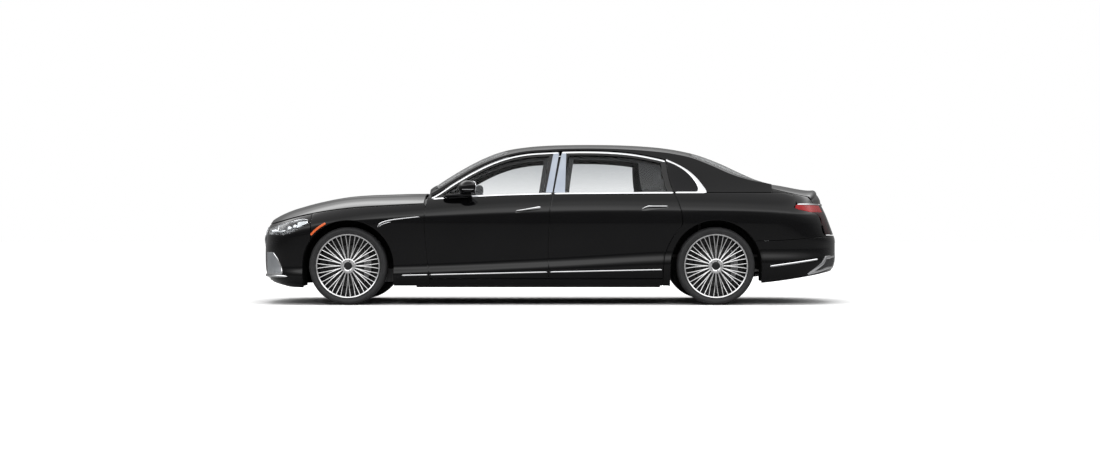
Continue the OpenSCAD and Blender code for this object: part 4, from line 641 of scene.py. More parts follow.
# %% Finish maker
def finish(name, dark, light, rough, scale=6.0, grain=None, grain_scale=500.0, bump=0.1, depth=0.0005,
           uv=False, **fixed):
    """One finish: colour and roughness run between two values with the mottle mask, a grain group drives the
    bump, and everything that is the same all over is set on the shader's own sockets."""
    look = bpy.data.materials.new(name)
    look.use_nodes = True
    t = look.node_tree
    bsdf, coord = t.nodes["Principled BSDF"], put(t, "ShaderNodeTexCoord")
    where = coord.outputs["UV" if uv else "Object"]
    cloud = put(t, "ShaderNodeGroup", node_tree=MOTTLE)
    cloud.inputs["Scale"].default_value = scale
    tone, sheen_ = ramp(t, [(0.3, dark), (0.7, light)]), put(t, "ShaderNodeMapRange")
    sheen_.inputs["From Min"].default_value, sheen_.inputs["From Max"].default_value = 0.3, 0.7
    sheen_.inputs["To Min"].default_value, sheen_.inputs["To Max"].default_value = rough
    link(t, (where, cloud.inputs["Vector"]), (cloud.outputs["Mask"], tone.inputs[0]),
         (cloud.outputs["Mask"], sheen_.inputs["Value"]), (tone.outputs[0], bsdf.inputs["Base Color"]),
         (sheen_.outputs["Result"], bsdf.inputs["Roughness"]))
    if grain is not None:
        rise, lift = (put(t, "ShaderNodeGroup", node_tree=grain),
                      put(t, "ShaderNodeBump", Strength=bump, Distance=depth))
        rise.inputs["Scale"].default_value = grain_scale
        link(t, (where, rise.inputs["Vector"]), (rise.outputs["Height"], lift.inputs["Height"]),
             (lift.outputs[0], bsdf.inputs["Normal"]))
    for key, value in fixed.items():
        bsdf.inputs[key.replace("_", " ")].default_value = value
    return look


PAINT = finish("black_paint", (0.0012, 0.0012, 0.0014), (0.0022, 0.0022, 0.0025), (0.03, 0.055), scale=3.0,
               grain=GRAIN, grain_scale=160.0, bump=0.015, depth=0.0003, IOR=1.35)
GLOSS_BLACK = finish("gloss_black_trim", (0.004, 0.004, 0.004), (0.008, 0.008, 0.008), (0.05, 0.09),
                     scale=9.0, grain=GRAIN, grain_scale=200.0, bump=0.02)
CHROME = finish("bright_trim", (0.78, 0.79, 0.81), (0.9, 0.9, 0.91), (0.05, 0.1), scale=14.0, grain=GRAIN,
                grain_scale=260.0, bump=0.02, Metallic=1.0)
BRUSHED_SILVER = finish("brushed_pillar", (0.34, 0.38, 0.45), (0.5, 0.54, 0.6), (0.34, 0.46), scale=5.0,
                        grain=BRUSHED, grain_scale=900.0, bump=0.25, depth=0.0003, uv=True, Metallic=1.0)
POLISHED = finish("polished_alloy", (0.86, 0.86, 0.87), (0.96, 0.96, 0.96), (0.26, 0.36), scale=30.0,
                  grain=BRUSHED, grain_scale=1400.0, bump=0.06, depth=0.0002, Metallic=1.0)
# Barrel, cap and bolts; the barrel's inner ring wall in this dark finish is painted shade.
DARK_ALLOY_AND_SHADE = finish("dark_wheel_paint_and_shade", (0.008, 0.008, 0.009), (0.016, 0.016, 0.017), (0.3, 0.45), scale=20.0,
                    grain=GRAIN, bump=0.08, Metallic=0.3)
RUBBER = finish("tyre_rubber", (0.011, 0.011, 0.012), (0.022, 0.022, 0.023), (0.62, 0.8), scale=12.0,
                grain=GRAIN, grain_scale=900.0, bump=0.3, depth=0.0006)
SEAL = finish("seal_rubber", (0.008, 0.008, 0.008), (0.016, 0.016, 0.016), (0.5, 0.65), scale=20.0,
              grain=GRAIN, grain_scale=700.0, bump=0.15)
PLASTIC = finish("moulded_plastic", (0.012, 0.012, 0.013), (0.022, 0.022, 0.023), (0.45, 0.6), scale=10.0,
                 grain=GRAIN, grain_scale=650.0, bump=0.25)
FELT = finish("arch_felt", (0.006, 0.006, 0.006), (0.014, 0.014, 0.014), (0.9, 1.0), scale=8.0, grain=GRAIN,
              grain_scale=300.0, bump=0.3, depth=0.001, Specular_IOR_Level=0.1)
SEALER = finish("underbody_sealer", (0.014, 0.014, 0.015), (0.035, 0.034, 0.033), (0.7, 0.9), scale=4.0,
                grain=GRAIN, grain_scale=140.0, bump=0.5, depth=0.0015)
LEATHER = finish("dark_hide", (0.018, 0.014, 0.012), (0.034, 0.027, 0.023), (0.4, 0.58), scale=7.0,
                 grain=HIDE, grain_scale=420.0, bump=0.35, depth=0.0008)
CAST = finish("cast_metal", (0.2, 0.2, 0.2), (0.34, 0.34, 0.35), (0.42, 0.6), scale=12.0, grain=GRAIN,
              grain_scale=260.0, bump=0.4, depth=0.0008, Metallic=0.9)
STEEL = finish("steel", (0.3, 0.29, 0.28), (0.45, 0.44, 0.43), (0.28, 0.42), scale=18.0, grain=BRUSHED,
               grain_scale=500.0, bump=0.15, Metallic=1.0)
GLASS = finish("side_glass", (0.9, 0.91, 0.915), (0.93, 0.94, 0.945), (0.0, 0.012), scale=2.0, IOR=1.2,
               Transmission_Weight=1.0)
CLEAR = finish("lamp_glass", (0.93, 0.95, 0.96), (0.97, 0.98, 0.99), (0.0, 0.01), scale=4.0, IOR=1.2,
               Transmission_Weight=1.0)
RED_LENS = finish("red_lens", (0.2, 0.002, 0.004), (0.33, 0.005, 0.008), (0.08, 0.14), scale=20.0,
                  grain=BRUSHED, grain_scale=240.0, bump=0.1, depth=0.0005, IOR=1.25)
SMOKED = finish("smoked_lens", (0.008, 0.001, 0.0015), (0.02, 0.002, 0.003), (0.06, 0.12), scale=20.0,
                grain=BRUSHED, grain_scale=240.0, bump=0.06, depth=0.0003, IOR=1.25)
AMBER = finish("amber_lens", (0.56, 0.09, 0.02), (0.7, 0.13, 0.03), (0.12, 0.2), scale=40.0, grain=GRAIN,
               grain_scale=300.0, bump=0.2, Coat_Weight=0.5)
SILVER = finish("lamp_reflector", (0.62, 0.64, 0.66), (0.84, 0.85, 0.86), (0.08, 0.2), scale=25.0,
                grain=GRAIN, grain_scale=200.0, bump=0.1, Metallic=1.0)
WOOD = finish("dark_veneer", (0.02, 0.011, 0.006), (0.06, 0.033, 0.018), (0.12, 0.2), scale=9.0,
              grain=BRUSHED, grain_scale=160.0, bump=0.1, Coat_Weight=0.7)
DARK_GLASS = finish("privacy_glass", (0.003, 0.003, 0.0035), (0.007, 0.007, 0.008), (0.015, 0.03), scale=3.0,
                    IOR=1.3)
SATIN = finish("satin_scoop", (0.5, 0.52, 0.55), (0.66, 0.68, 0.7), (0.42, 0.52), scale=8.0, grain=BRUSHED,
               grain_scale=500.0, bump=0.1, depth=0.0002, Metallic=1.0)
MIRROR = finish("mirror_glass", (0.3, 0.31, 0.32), (0.36, 0.37, 0.38), (0.02, 0.05), scale=5.0, Metallic=1.0)
LINING = finish("window_lining", (0.006, 0.006, 0.006), (0.012, 0.012, 0.012), (0.5, 0.62), scale=9.0,
                grain=GRAIN, grain_scale=800.0, bump=0.04, depth=0.0003)
LAMP_SHELL = finish("lamp_shell", (0.02, 0.021, 0.023), (0.06, 0.062, 0.066), (0.15, 0.25), scale=30.0,
                    grain=BRUSHED, grain_scale=300.0, bump=0.2, Metallic=0.6)
# Painted shade: the brake disc is far darker than bare iron, for the shade inside the wheel.
DISC = finish("brake_disc", (0.05, 0.05, 0.05), (0.09, 0.09, 0.09), (0.35, 0.5), scale=30.0, grain=GRAIN,
              grain_scale=800.0, bump=0.1, Metallic=1.0)


def darken_upwards(look, low, high):
    """Makes a glass darker from the belt upwards: height in object coordinates picks a colour between low and
    high."""
    t = look.node_tree
    bsdf, coord = t.nodes["Principled BSDF"], put(t, "ShaderNodeTexCoord")
    split, rise = put(t, "ShaderNodeSeparateXYZ"), put(t, "ShaderNodeMapRange")
    rise.inputs["From Min"].default_value, rise.inputs["From Max"].default_value = 1.05, 1.4
    tone, both = (ramp(t, [(0.0, low), (1.0, high)]),
                  put(t, "ShaderNodeMix", data_type="RGBA", blend_type="MULTIPLY"))
    both.inputs["Factor"].default_value = 1.0
    old = bsdf.inputs["Base Color"].links[0].from_socket
    link(t, (coord.outputs["Object"], split.inputs[0]), (split.outputs["Z"], rise.inputs["Value"]),
         (rise.outputs["Result"], tone.inputs[0]), (old, both.inputs["A"]),
         (tone.outputs[0], both.inputs["B"]), (both.outputs["Result"], bsdf.inputs["Base Color"]))


# The glass is nearly clear at the belt and turns darker grey towards the top.
darken_upwards(GLASS, (0.99, 0.99, 0.99), (0.68, 0.69, 0.70))
print("finishes:", len(bpy.data.materials))

# %% [markdown]
# ## Doors
# A door is a lower panel with a window frame above it. The lower panel is the side surface between two
# shut lines, so it is drawn on a grid of share along the door and share of the height up to the belt. The
# frame is the same grid carried on above the belt, with the window cells left open.


# %% Door shapes
def door_grid(front, rear, s, row, band=0.033):
    """Points of a door: s runs from the front shut line to the rear one; row runs 0 to 1 from the bottom to
    the belt, 1 to 2 up to the lower edge of the top frame and 2 to 3 across that frame, which is band
    high."""
    s, row = np.meshgrid(s, row, indexing="ij")
    x = front(0.755) + (rear(0.755) - front(0.755)) * s
    z = np.zeros_like(x)
    for _ in range(6):
        b, top = belt_z(x), window_top(x) - GAP / 2
        low, high = np.maximum(top - band, b + 0.0083), np.maximum(top, b + 0.0166)
        z = np.where(row <= 1, DOOR_LOW + (b - DOOR_LOW) * row,
                     np.where(row <= 2, b + (low - b) * (row - 1), low + (high - low) * (row - 2)))
        a = front(z) - GAP / 2
        c = rear(z) + GAP / 2
        x = a + (c - a) * s
    above = row > 1
    return coords(x, np.where(above, cabin_y(x, z), side_y(x, z)), z)


def front_rear_cut(z):
    """Rear edge of the front door: the middle shut line, moved forward above the belt so that the frame
    swings clear."""
    x = middle_cut(z)
    return x + 0.022 * np.clip(z - 0.5 * HEIGHT, 0, None)


def door_card(front, rear):
    """Inner trim: the door grid moved in by 52 mm, pushed out into an armrest roll at two fifths of its
    height."""
    s, row = np.linspace(0.03, 0.97, 40), np.linspace(0.06, 0.985, 30)
    p = door_grid(front, rear, s, row)
    rest = (np.exp(-((row - 0.62) / 0.045)**2)[None] * np.clip(np.minimum(s - 0.12, 0.98 - s) / 0.12, 0,
                                                               1)[:, None]**0.5)
    p[..., 1] -= 0.046 + 0.05 * rest + 0.006 * np.sin(row * 3.1)[None]
    return shell(p, 0.022, roll=0.004, level=True)


def window_lining(front, rear, s0, s1, ends):
    """Inner frame of a window: the door grid above the belt moved in by 38 mm, a wider band, and cells left
    out between s0 and s1."""
    s = np.r_[np.linspace(ends[0], s0, 8), np.linspace(s0, s1, 60)[1:], np.linspace(s1, ends[1], 8)[1:]]
    row = np.r_[np.linspace(0.97, 2, 16), np.linspace(2, 2.95, 6)[1:]]
    p = door_grid(front, rear, s, row, band=0.076)
    p[..., 1] = cabin_y(p[..., 0], p[..., 2]) - 0.038
    hole = np.zeros((len(s) - 1, len(row) - 1), bool)
    hole[7:66, :15] = True
    return shell(p, 0.008, hole=hole, level=True)


DOORS = {"front": (front_cut, front_rear_cut, 0.115, 0.93), "rear": (middle_cut, rear_cut, 0.065, 0.955)}
LININGS = {"front": (0.13, 0.893, (0.03, 0.945)), "rear": (0.125, 0.745, (0.08, 0.975))}
for place, (a, c, s0, s1) in DOORS.items():
    skin = shell(door_grid(a, c, np.linspace(0, 1, 60), np.linspace(0, 1, 64)), 0.034, level=True)
    s = np.r_[np.linspace(0, s0, 8), np.linspace(s0, s1, 70)[1:], np.linspace(s1, 1, 8)[1:]]
    row = np.r_[np.linspace(1.0001, 2, 14), np.linspace(2, 3, 6)[1:]]
    ring = door_grid(a, c, s, row)
    open_ = np.zeros((len(s) - 1, len(row) - 1), bool)
    open_[7:76, :13] = True
    frame_part = shell(ring, 0.034, hole=open_, level=True)
    card = door_card(a, c)
    lining = window_lining(a, c, *LININGS[place])
    pane = door_grid(a, c, np.linspace(s0 - 0.004, s1 + 0.004, 50), np.linspace(0.985, 2.05, 16))
    pane[..., 1] = cabin_y(pane[..., 0], pane[..., 2]) - 0.012
    glass = shell(pane, 0.0045, roll=0.001, level=True)
    for side, turn in SIDES:
        body = f"door_{place}_{side}"
        show(f"skin_{body}", turn(skin), PAINT, body, (body,))
        show(f"frame_{body}", turn(frame_part), GLOSS_BLACK, body)
        show(f"card_{body}", turn(card), LEATHER, body)
        show(f"lining_{body}", turn(lining), LINING, body)
        show(f"pane_{body}", turn(glass), GLASS, body, (f"glass_{place}_{side}",))
print({k: v for k, v in made.items() if "door" in k})

# %% [markdown]
# ## Fenders, quarters and the upper frame
# These panels lie on the same side surface, but their outlines follow wheel arches and shut lines. A fan
# does it: one path runs along the inner outline, one along the outer outline, and straight lines between
# them in side view fill the panel before it is laid on the surface.


# %% Fans on the side surface
def fan(inner, outer, steps):
    """Grid between two outlines in side view, laid on the side: point = inner + share * (outer - inner), y =
    body side."""
    t = np.linspace(0, 1, steps)[None, :, None]
    flat = inner[:, None] + t * (outer - inner)[:, None]
    x, z = flat[..., 0], flat[..., 1]
    return coords(x, body_y(x, z), z)


def path(k, knots, values):
    """Straight-step reading of a list of points at the places k."""
    return np.interp(k, knots, values)


BUMPER_X, SILL_Z = station(0.6), 0.118 * HEIGHT
k = np.linspace(0, 17, 103)
first = np.degrees(np.arccos((BUMPER_X - AXLES[0] - GAP) / ARCH))
angle = np.radians(path(k, [0, 14, 17], [first, 180, 180]))
arch = coords(AXLES[0] + ARCH * np.cos(angle),
              np.where(k <= 14, HUB + ARCH * np.sin(angle), HUB + (SILL_Z - HUB) * (k - 14) / 3))
end = front_cut(0.6 * HEIGHT) + GAP / 2
x_top = path(k, [0, 9, 17], [BUMPER_X - GAP, end, end])
z_door = path(k, [0, 9, 17], [bonnet_edge(end) - 0.008, bonnet_edge(end) - 0.008, SILL_Z])
edge = coords(np.where(k <= 9, x_top, front_cut(z_door) + GAP / 2),
              np.where(k <= 9, bonnet_edge(x_top) - 0.008, z_door))
fender = shell(fan(arch, edge, 40), 0.012, roll=0.003)
show("fender_panels", pair(fender), PAINT, stands_for=("fenders",))

k = np.linspace(0, 23, 139)
bumper_top = line([(2.25, 0.39), (2.4, 0.392), (2.6, 0.4), (2.8, 0.415), (2.97, 0.424)])
join = 180 - np.degrees(np.arcsin((0.39 * HEIGHT - HUB) / ARCH))
angle = np.radians(path(k, [0, 3, 15, 23], [0, 0, join, join]))
tail_x = AXLES[1] + ARCH * np.cos(np.radians(join))
x_tail = (tail_x + (station(2.87) - tail_x)
          * path(k, np.arange(15, 24), [0, 0.25, 0.5, 0.7, 0.8, 0.87, 0.92, 0.96, 1]))
arch = coords(np.where(k <= 15, AXLES[1] + ARCH * np.cos(angle), x_tail),
              np.where(k <= 3, SILL_Z + (HUB - SILL_Z) * k / 3,
                       np.where(k <= 15, HUB + ARCH * np.sin(angle), bumper_top(x_tail) + GAP / 2)))
lamp_front = np.array([(2.612, 0.612), (2.603, 0.600), (2.63, 0.586), (2.70, 0.574), (2.77, 0.563),
                       (2.808, 0.545), (2.83, 0.49), (2.845, 0.44)])
STRIP_Z = 0.612 * HEIGHT
z_edge = (SILL_Z + (belt_z(AXLES[1]) - SILL_Z)
          * path(k, np.arange(11), [0, 0.071, 0.141, 0.212, 0.329, 0.445, 0.544, 0.636, 0.731, 0.865, 1]))
x_belt = path(k, [10, 15], [rear_cut(belt_z(AXLES[1])) - GAP / 2, station(2.62)])
x_lamp, z_lamp = (path(k, 16 + np.arange(8), v)
                  for v in (station(lamp_front[:, 0]), lamp_front[:, 1] * HEIGHT))
z_belt = np.minimum(belt_z(x_belt), boot_edge(x_belt) - 0.018)
past = np.clip(k - 15, 0, 1)
edge = coords(np.where(k <= 10, rear_cut(z_edge) - GAP / 2,
                       np.where(k <= 16, x_belt + (x_lamp - x_belt) * past, x_lamp)),
              np.where(k <= 10, z_edge, np.where(k <= 16, z_belt + (z_lamp - z_belt) * past, z_lamp)))
quarter = shell(fan(arch, edge, 34), 0.012, roll=0.003)
u, t = np.meshgrid(np.linspace(0, 1, 40), np.linspace(0, 1, 10), indexing="ij")
x = station(2.441) + (station(2.715) - station(2.441)) * u
behind = np.clip((station(2.6) - x) / (station(2.6) - station(2.63)), 0, 1)
low_z = (np.minimum(belt_z(x), boot_edge(x) - 0.018) + 0.003) * (1 - behind) + (STRIP_Z + 0.005) * behind
z = low_z + (boot_edge(x) - 0.006 - low_z) * t
keep = np.clip((station(2.441) - x) / 0.1, 0, 1)
shelf = coords(x, side_y(x, z) * keep + np.minimum(cabin_y(x, z), side_y(x, z)) * (1 - keep), z)
corner_x, corner_z = station(2.72), boot_edge(station(2.72))
corner_y = side_y(corner_x, corner_z)
z = STRIP_Z + 0.005 + (corner_z - 0.007 - STRIP_Z - 0.005) * t
end_x = plan_x(np.full_like(z, corner_y), z, False) + 0.004
x = station(2.70) + (end_x - station(2.70)) * u
corner = coords(x, side_y(x, z), z)
show("quarter_panels_outer", pair(quarter, shell(shelf, 0.012, roll=0.001), shell(corner, 0.012, roll=0.001)),
     PAINT, stands_for=("quarter_panels",))

# %% Upper frame
k = np.linspace(0, 3, 181)
turn_x = rear_cut(0.872 * HEIGHT) - GAP / 2
x_low = path(k, [0, 1, 2, 3], [station(1.225), turn_x, turn_x, GLASS_END])
z_down = path(k, [0, 1, 2, 3], [window_top(turn_x) + 0.011, window_top(turn_x) + 0.011, belt_z(-1.2) + GAP,
                                belt_z(-1.2) + GAP])
low = coords(np.where((k > 1) & (k <= 2), rear_cut(z_down) - GAP / 2,
                      np.where(k > 2, path(k, [2, 3], [rear_cut(z_down[120]) - GAP / 2, GLASS_END]), x_low)),
             np.where(k <= 1, window_top(x_low) + 0.011,
                      np.where(k <= 2, z_down, np.minimum(belt_z(x_low) + GAP, rail_z(x_low) - 0.045))))
x_rail = path(k, [0, 1, 2, 3], [station(1.225), turn_x - 0.03, station(2.05), GLASS_END])
rail = coords(x_rail, rail_z(x_rail))
side_rows = fan(low, rail, 18)
side_rows[..., 1] = cabin_y(side_rows[..., 0], side_rows[..., 2])
inner = np.maximum(rail_y(x_rail) - 0.045 * WIDTH, 0.5 * rail_y(x_rail))
t = np.linspace(0, 1, 8)[1:]
y_over = rail_y(x_rail)[:, None] + (inner - rail_y(x_rail))[:, None] * t
over = coords(np.broadcast_to(x_rail[:, None], y_over.shape), y_over, roof_z(x_rail[:, None], y_over))
frame_grid = np.concatenate([side_rows, over], 1)
show("upper_frames", pair(shell(frame_grid, 0.014, roll=0.002)), PAINT)

s, t = np.meshgrid(np.linspace(0, 1, 70), np.linspace(0, 1, 8), indexing="ij")
z = SILL_Z + (DOOR_LOW - GAP - SILL_Z) * t
x = front_cut(z) - GAP / 2 + (rear_cut(z) - front_cut(z) + GAP) * s
show("sills", pair(shell(coords(x, side_y(x, z), z), 0.05, level=True)), PAINT)
print({n: made[n] for n in ("fender_panels", "quarter_panels_outer", "upper_frames", "sills")})

# %% [markdown]
# ## Bonnet, roof and screens
# Bonnet, roof, windscreen and rear window are crowned sheets: the height falls from the centre line to the
# edge line with a power of the share of the width. The bonnet also carries two shallow power lines.


# %% Crowned sheets
def bonnet_points(f, t):
    """Bonnet: f runs across from -1 to 1, t from the nose to the screen. Its front follows the nose in
    plan."""
    f, t = np.meshgrid(f, t, indexing="ij")
    half = lambda x: side_y(x, bonnet_edge(x))
    a = end_path(f, 0.5 * HEIGHT, BUMPER_X)
    front = end_path(f, bonnet_edge(a[..., 0]), BUMPER_X)
    end_y = end_path(1.0, bonnet_edge(BUMPER_X), BUMPER_X)[..., 1]
    rear = BONNET_END
    x = front[..., 0] + (rear - front[..., 0]) * t
    edge_x = BUMPER_X + (rear - BUMPER_X) * t
    y = ((front[..., 1] + (f * half(rear) - front[..., 1]) * t) * (half(edge_x) - 0.007)
         / (end_y + (half(rear) - end_y) * t))
    share = np.minimum(1, np.abs(y) / np.maximum(0.001, half(x)))
    z = crown(bonnet_line(x), bonnet_edge(x), share, 2.8)
    ridge = (0.0045 * np.exp(-((np.abs(f) - 0.42 - 0.12 * t) / 0.045)**2) * np.clip(t / 0.25, 0, 1)
             * np.clip((1 - t) / 0.15, 0, 1))
    return coords(x, y, z + ridge)


def crown_sheet(s0, s1, bow, trim=(0, 0), lift=0.0):
    """Roof or screen between two stations: x is bowed forward in the middle, y is a share of the inner rail
    width."""
    t, f = np.meshgrid(np.linspace(0, 1, 38), np.linspace(-1, 1, 72), indexing="ij")
    x0, x1 = station(s0) - trim[0], station(s1) + trim[1]
    x = x0 + (x1 - x0) * t + (bow[0] + (bow[1] - bow[0]) * t) * (1 - f**2)
    y = f * (np.maximum(rail_y(x) - 0.045 * WIDTH, 0.5 * rail_y(x)) - 0.003)
    return coords(x, y, roof_z(x, y) + lift)


bows = 0.028 * WHEELBASE, 0.02 * WHEELBASE
show("bonnet_skin", shell(bonnet_points(np.linspace(-1, 1, 110), np.linspace(0, 1, 70)), 0.014, roll=0.003),
     PAINT, "bonnet", ("bonnet",))
show("roof_skin", shell(crown_sheet(1.435, 1.938, (bows[1], 0), lift=-0.0004), 0.016, roll=0.002), PAINT,
     stands_for=("roof",))
show("windscreen_glass", shell(crown_sheet(1.24, 1.435, bows, (0, 0.004)), 0.005, roll=0.001), GLASS,
     stands_for=("windscreen",))
show("rear_window_glass", shell(crown_sheet(1.938, 2.436, (0, 0), (0.004, 0)), 0.005, roll=0.001), GLASS,
     stands_for=("rear_window",))
f, t = np.meshgrid(np.linspace(-1, 1, 90), np.linspace(0, 1, 10), indexing="ij")
scr = station(1.24) + bows[0] * (1 - f**2) + 0.01
x = BONNET_END - 0.010 + (scr - BONNET_END + 0.010) * t
y = f * (0.88 - 0.17 * t) * side_y(station(1.21), 0.9)
half = side_y(x, bonnet_edge(x))
cowl_z = (crown(bonnet_line(station(1.2)), bonnet_edge(station(1.2)), np.minimum(1, np.abs(y) / half), 2.8)
          - 0.028)
z = cowl_z + (roof_z(scr - 0.02, y * 0.78) - 0.012 - cowl_z) * t**2
show("cowl", shell(coords(x, y, z), 0.008, roll=0.002), PLASTIC)
f, t = np.meshgrid(np.linspace(-1, 1, 80), np.linspace(0, 1, 12), indexing="ij")
x = station(2.40) + (station(2.50) - station(2.40)) * t
y = f * (side_y(x, boot_edge(x)) - 0.014)
deck = shell(coords(x, y, crown(deck_line(x), boot_edge(x), f, 2.8) - 0.03), 0.006, roll=0.001)
u, t = np.meshgrid(np.linspace(0, 1, 16), np.linspace(0, 1, 16), indexing="ij")
x = station(1.175) + (station(1.25) - station(1.175)) * u
y = 0.62 + (side_y(x, bonnet_edge(x)) - 0.016 - 0.62) * t
base = (np.minimum(roof_z(x, np.minimum(y, rail_y(x))),
                   crown(bonnet_line(station(1.2)), bonnet_edge(station(1.2)),
                         np.minimum(1, y / side_y(x, bonnet_edge(x))), 2.8)) - 0.02)
corners = pair(shell(coords(x, y, base), 0.006, roll=0.001))
z = SILL_Z + 0.003 + 0.09 * t
x = rear_cut(z) - 0.05 + 0.1 * u
sill_ends = pair(shell(coords(x, side_y(x, z) - 0.018, z), 0.004, roll=0.001))
show("gap_panels", [deck, *sill_ends], PAINT)
show("screen_corners", corners, SEAL)
print({n: made[n] for n in ("bonnet_skin", "roof_skin", "windscreen_glass", "cowl", "gap_panels")})

# %% [markdown]
# ## Bumpers and boot lid
# Nose and tail are wrapped by a path that crosses the front and then runs back along the side. The front
# cover has openings for the grille, the headlamps and the lower intakes: cells of the grid left out.

# %% Front cover
lamp_low = line([(0, 0.43), (0.2, 0.43), (0.3, 0.428), (0.4, 0.442), (0.51, 0.476), (0.6, 0.506)])
lamp_high = line([(0, 0.47), (0.15, 0.474), (0.22, 0.489), (0.4, 0.518), (0.51, 0.527), (0.6, 0.514)])


def nose_end(z):
    """Where the front cover stops: the bumper shut line, or the wheel arch where that lies further
    forward."""
    reach = np.sqrt(np.clip(ARCH**2 - (z - HUB)**2, 0, None))
    return np.maximum(BUMPER_X, AXLES[0] + np.where(z < HUB, ARCH, reach))


def cover_z(x, q):
    """Height of row q: six level rows, then the lower and upper lamp edge and the bonnet edge."""
    rows = [np.full_like(x, v * HEIGHT) for v in (0.105, 0.135, 0.18, 0.25, 0.33, 0.39)]
    rows = np.stack(rows + [lamp_low(x), lamp_high(x), bonnet_edge(x) - 0.012], -1)
    i = np.clip(np.floor(q).astype(int), 0, 7)
    a, b = (np.take_along_axis(rows, (i + n)[..., None], -1)[..., 0] for n in (0, 1))
    return a + (b - a) * (q - i)


def cover_points(f, q):
    """Front cover: the row height depends on where the path has got to, so it is settled in three rounds."""
    f, q = np.meshgrid(f, q, indexing="ij")
    x = end_path(f, 0.5 * HEIGHT, BUMPER_X)[..., 0]
    for _ in range(3):
        z = cover_z(x, q)
        p = end_path(f, z, nose_end(z))
        x = p[..., 0]
    return p


def knots(*stops):
    """Grid values through the given stops, each span in as many steps as stated after it."""
    spans = [np.linspace(a, b, n, endpoint=False) for a, n, b in zip(stops[0:-2:2], stops[1::2], stops[2::2])]
    return np.concatenate(spans + [[stops[-1]]])


GRILLE_F, INTAKE_F, LAMP_F = 0.34, 0.5, (0.57, 0.985)
half_f = knots(0, 24, GRILLE_F, 8, INTAKE_F, 4, LAMP_F[0], 44, LAMP_F[1], 2, 1)
f = np.r_[-half_f[:0:-1], half_f]
q = knots(0, 5, 1, 5, 2, 6, 3, 8, 4, 6, 5, 6, 6, 10, 7, 8, 8)
mid_f, mid_q = np.abs((f[1:] + f[:-1]) / 2)[:, None], ((q[1:] + q[:-1]) / 2)[None]
lamp_cells = (mid_q > 6) & (mid_q < 7) & (mid_f > LAMP_F[0]) & (mid_f < LAMP_F[1])
grille_cells = (mid_q > 3) & (mid_q < 7) & (mid_f < GRILLE_F)
intake_cells = (mid_q > 1) & (mid_q < 2) & (mid_f < INTAKE_F)
openings = lamp_cells | grille_cells | intake_cells
cover = cover_points(f, q)
show("front_cover", shell(cover, 0.012, hole=openings, roll=0.002), PAINT,
     stands_for=("front_bumper",))

# %% Rear cover
rear_bottom = line([(2.2, 0.122), (2.5, 0.148), (2.75, 0.178), (2.9, 0.198), (3, 0.205)])


def tail_end(z):
    """Where the rear cover stops: at the rear wheel arch."""
    return AXLES[1] - np.where(z < HUB, ARCH, np.sqrt(np.clip(ARCH**2 - (z - HUB)**2, 0, None)))


def rear_points(f, t):
    """Rear cover: t runs from the lower edge to the bumper line, f round the tail from side to side."""
    f, t = np.meshgrid(f, t, indexing="ij")
    z = 0.205 * HEIGHT + (0.424 - 0.205) * HEIGHT * t
    x = end_path(f, z, tail_end(z), False)[..., 0]
    for _ in range(2):
        z = rear_bottom(x) + (bumper_top(x) - GAP / 2 - rear_bottom(x)) * t
        p = end_path(f, z, tail_end(z), False)
        x = p[..., 0]
    return p


rear_cover = rear_points(np.linspace(-1, 1, 160), np.linspace(0, 1, 30))
show("rear_cover", shell(rear_cover, 0.012, roll=0.002), PAINT, stands_for=("rear_bumper",))

# %% Boot lid and tail lamps
CORNER_X = station(2.72)
CORNER_Y, CORNER_Z = side_y(CORNER_X, boot_edge(CORNER_X)) - GAP / 2, boot_edge(CORNER_X)


def lid_points(f, w):
    """Boot lid: w runs 0 to 1 along the deck to the lip, 1 to 2 round the lip and 2 to 3 down the rear
    face."""
    f, w = np.meshgrid(f, w, indexing="ij")
    lip_z = crown(0.706 * HEIGHT, CORNER_Z, f, 2.8)
    lip_x = np.where(np.abs(f) > 0.99, CORNER_X, plan_x(np.abs(f) * CORNER_Y, lip_z, False))
    t = np.minimum(w, 1)
    edge_x = LID_FRONT + (CORNER_X - LID_FRONT) * t
    edge_y = side_y(edge_x, boot_edge(edge_x)) - GAP / 2
    mid = plan_x(np.zeros(1), np.array([0.706 * HEIGHT]), False)[0]
    middle = deck_line(LID_FRONT + (mid - LID_FRONT) * t)
    middle = (middle + (0.706 * HEIGHT - middle) * t * t + 0.006 * np.clip((t - 0.75) / 0.25, 0, 1)**2
              * (1 - f**2))
    deck = coords(LID_FRONT + (lip_x - LID_FRONT) * t, f * edge_y, crown(middle, boot_edge(edge_x), f, 2.8))
    face_z = lip_z - 0.036 + (0.43 * HEIGHT - lip_z + 0.036) * np.clip(w - 2, 0, 1)
    face = coords(plan_x(f * CORNER_Y, face_z, False), f * CORNER_Y, face_z)
    turn = np.clip(w - 1, 0, 1)[..., None]
    a = turn * np.pi / 2
    corner = coords(np.minimum(deck[..., 0], face[..., 0]), f * CORNER_Y, deck[..., 2])
    round_ = corner + (deck - corner) * (1 - np.sin(a)) + (face - corner) * (1 - np.cos(a))
    return np.where(w[..., None] <= 1, deck, np.where(w[..., None] <= 2, round_, face))


f = knots(-1, 10, -0.8, 50, 0.8, 10, 1)
w = knots(0, 30, 1, 8, 2, 24, 2.3, 14, 3)
lid = lid_points(f, w)
hole = ((np.abs((f[1:] + f[:-1]) / 2)[:, None] > 0.8) & (((w[1:] + w[:-1]) / 2)[None] > 2)
        & (lid[1:, 1:, 2] < STRIP_Z + 0.006))
show("boot_lid_skin", shell(lid, 0.010, hole=hole, roll=0.002), PAINT, "boot_lid", ("boot_lid",))

lamp_line = curve([(v * HEIGHT, station(s)) for s, v in lamp_front])


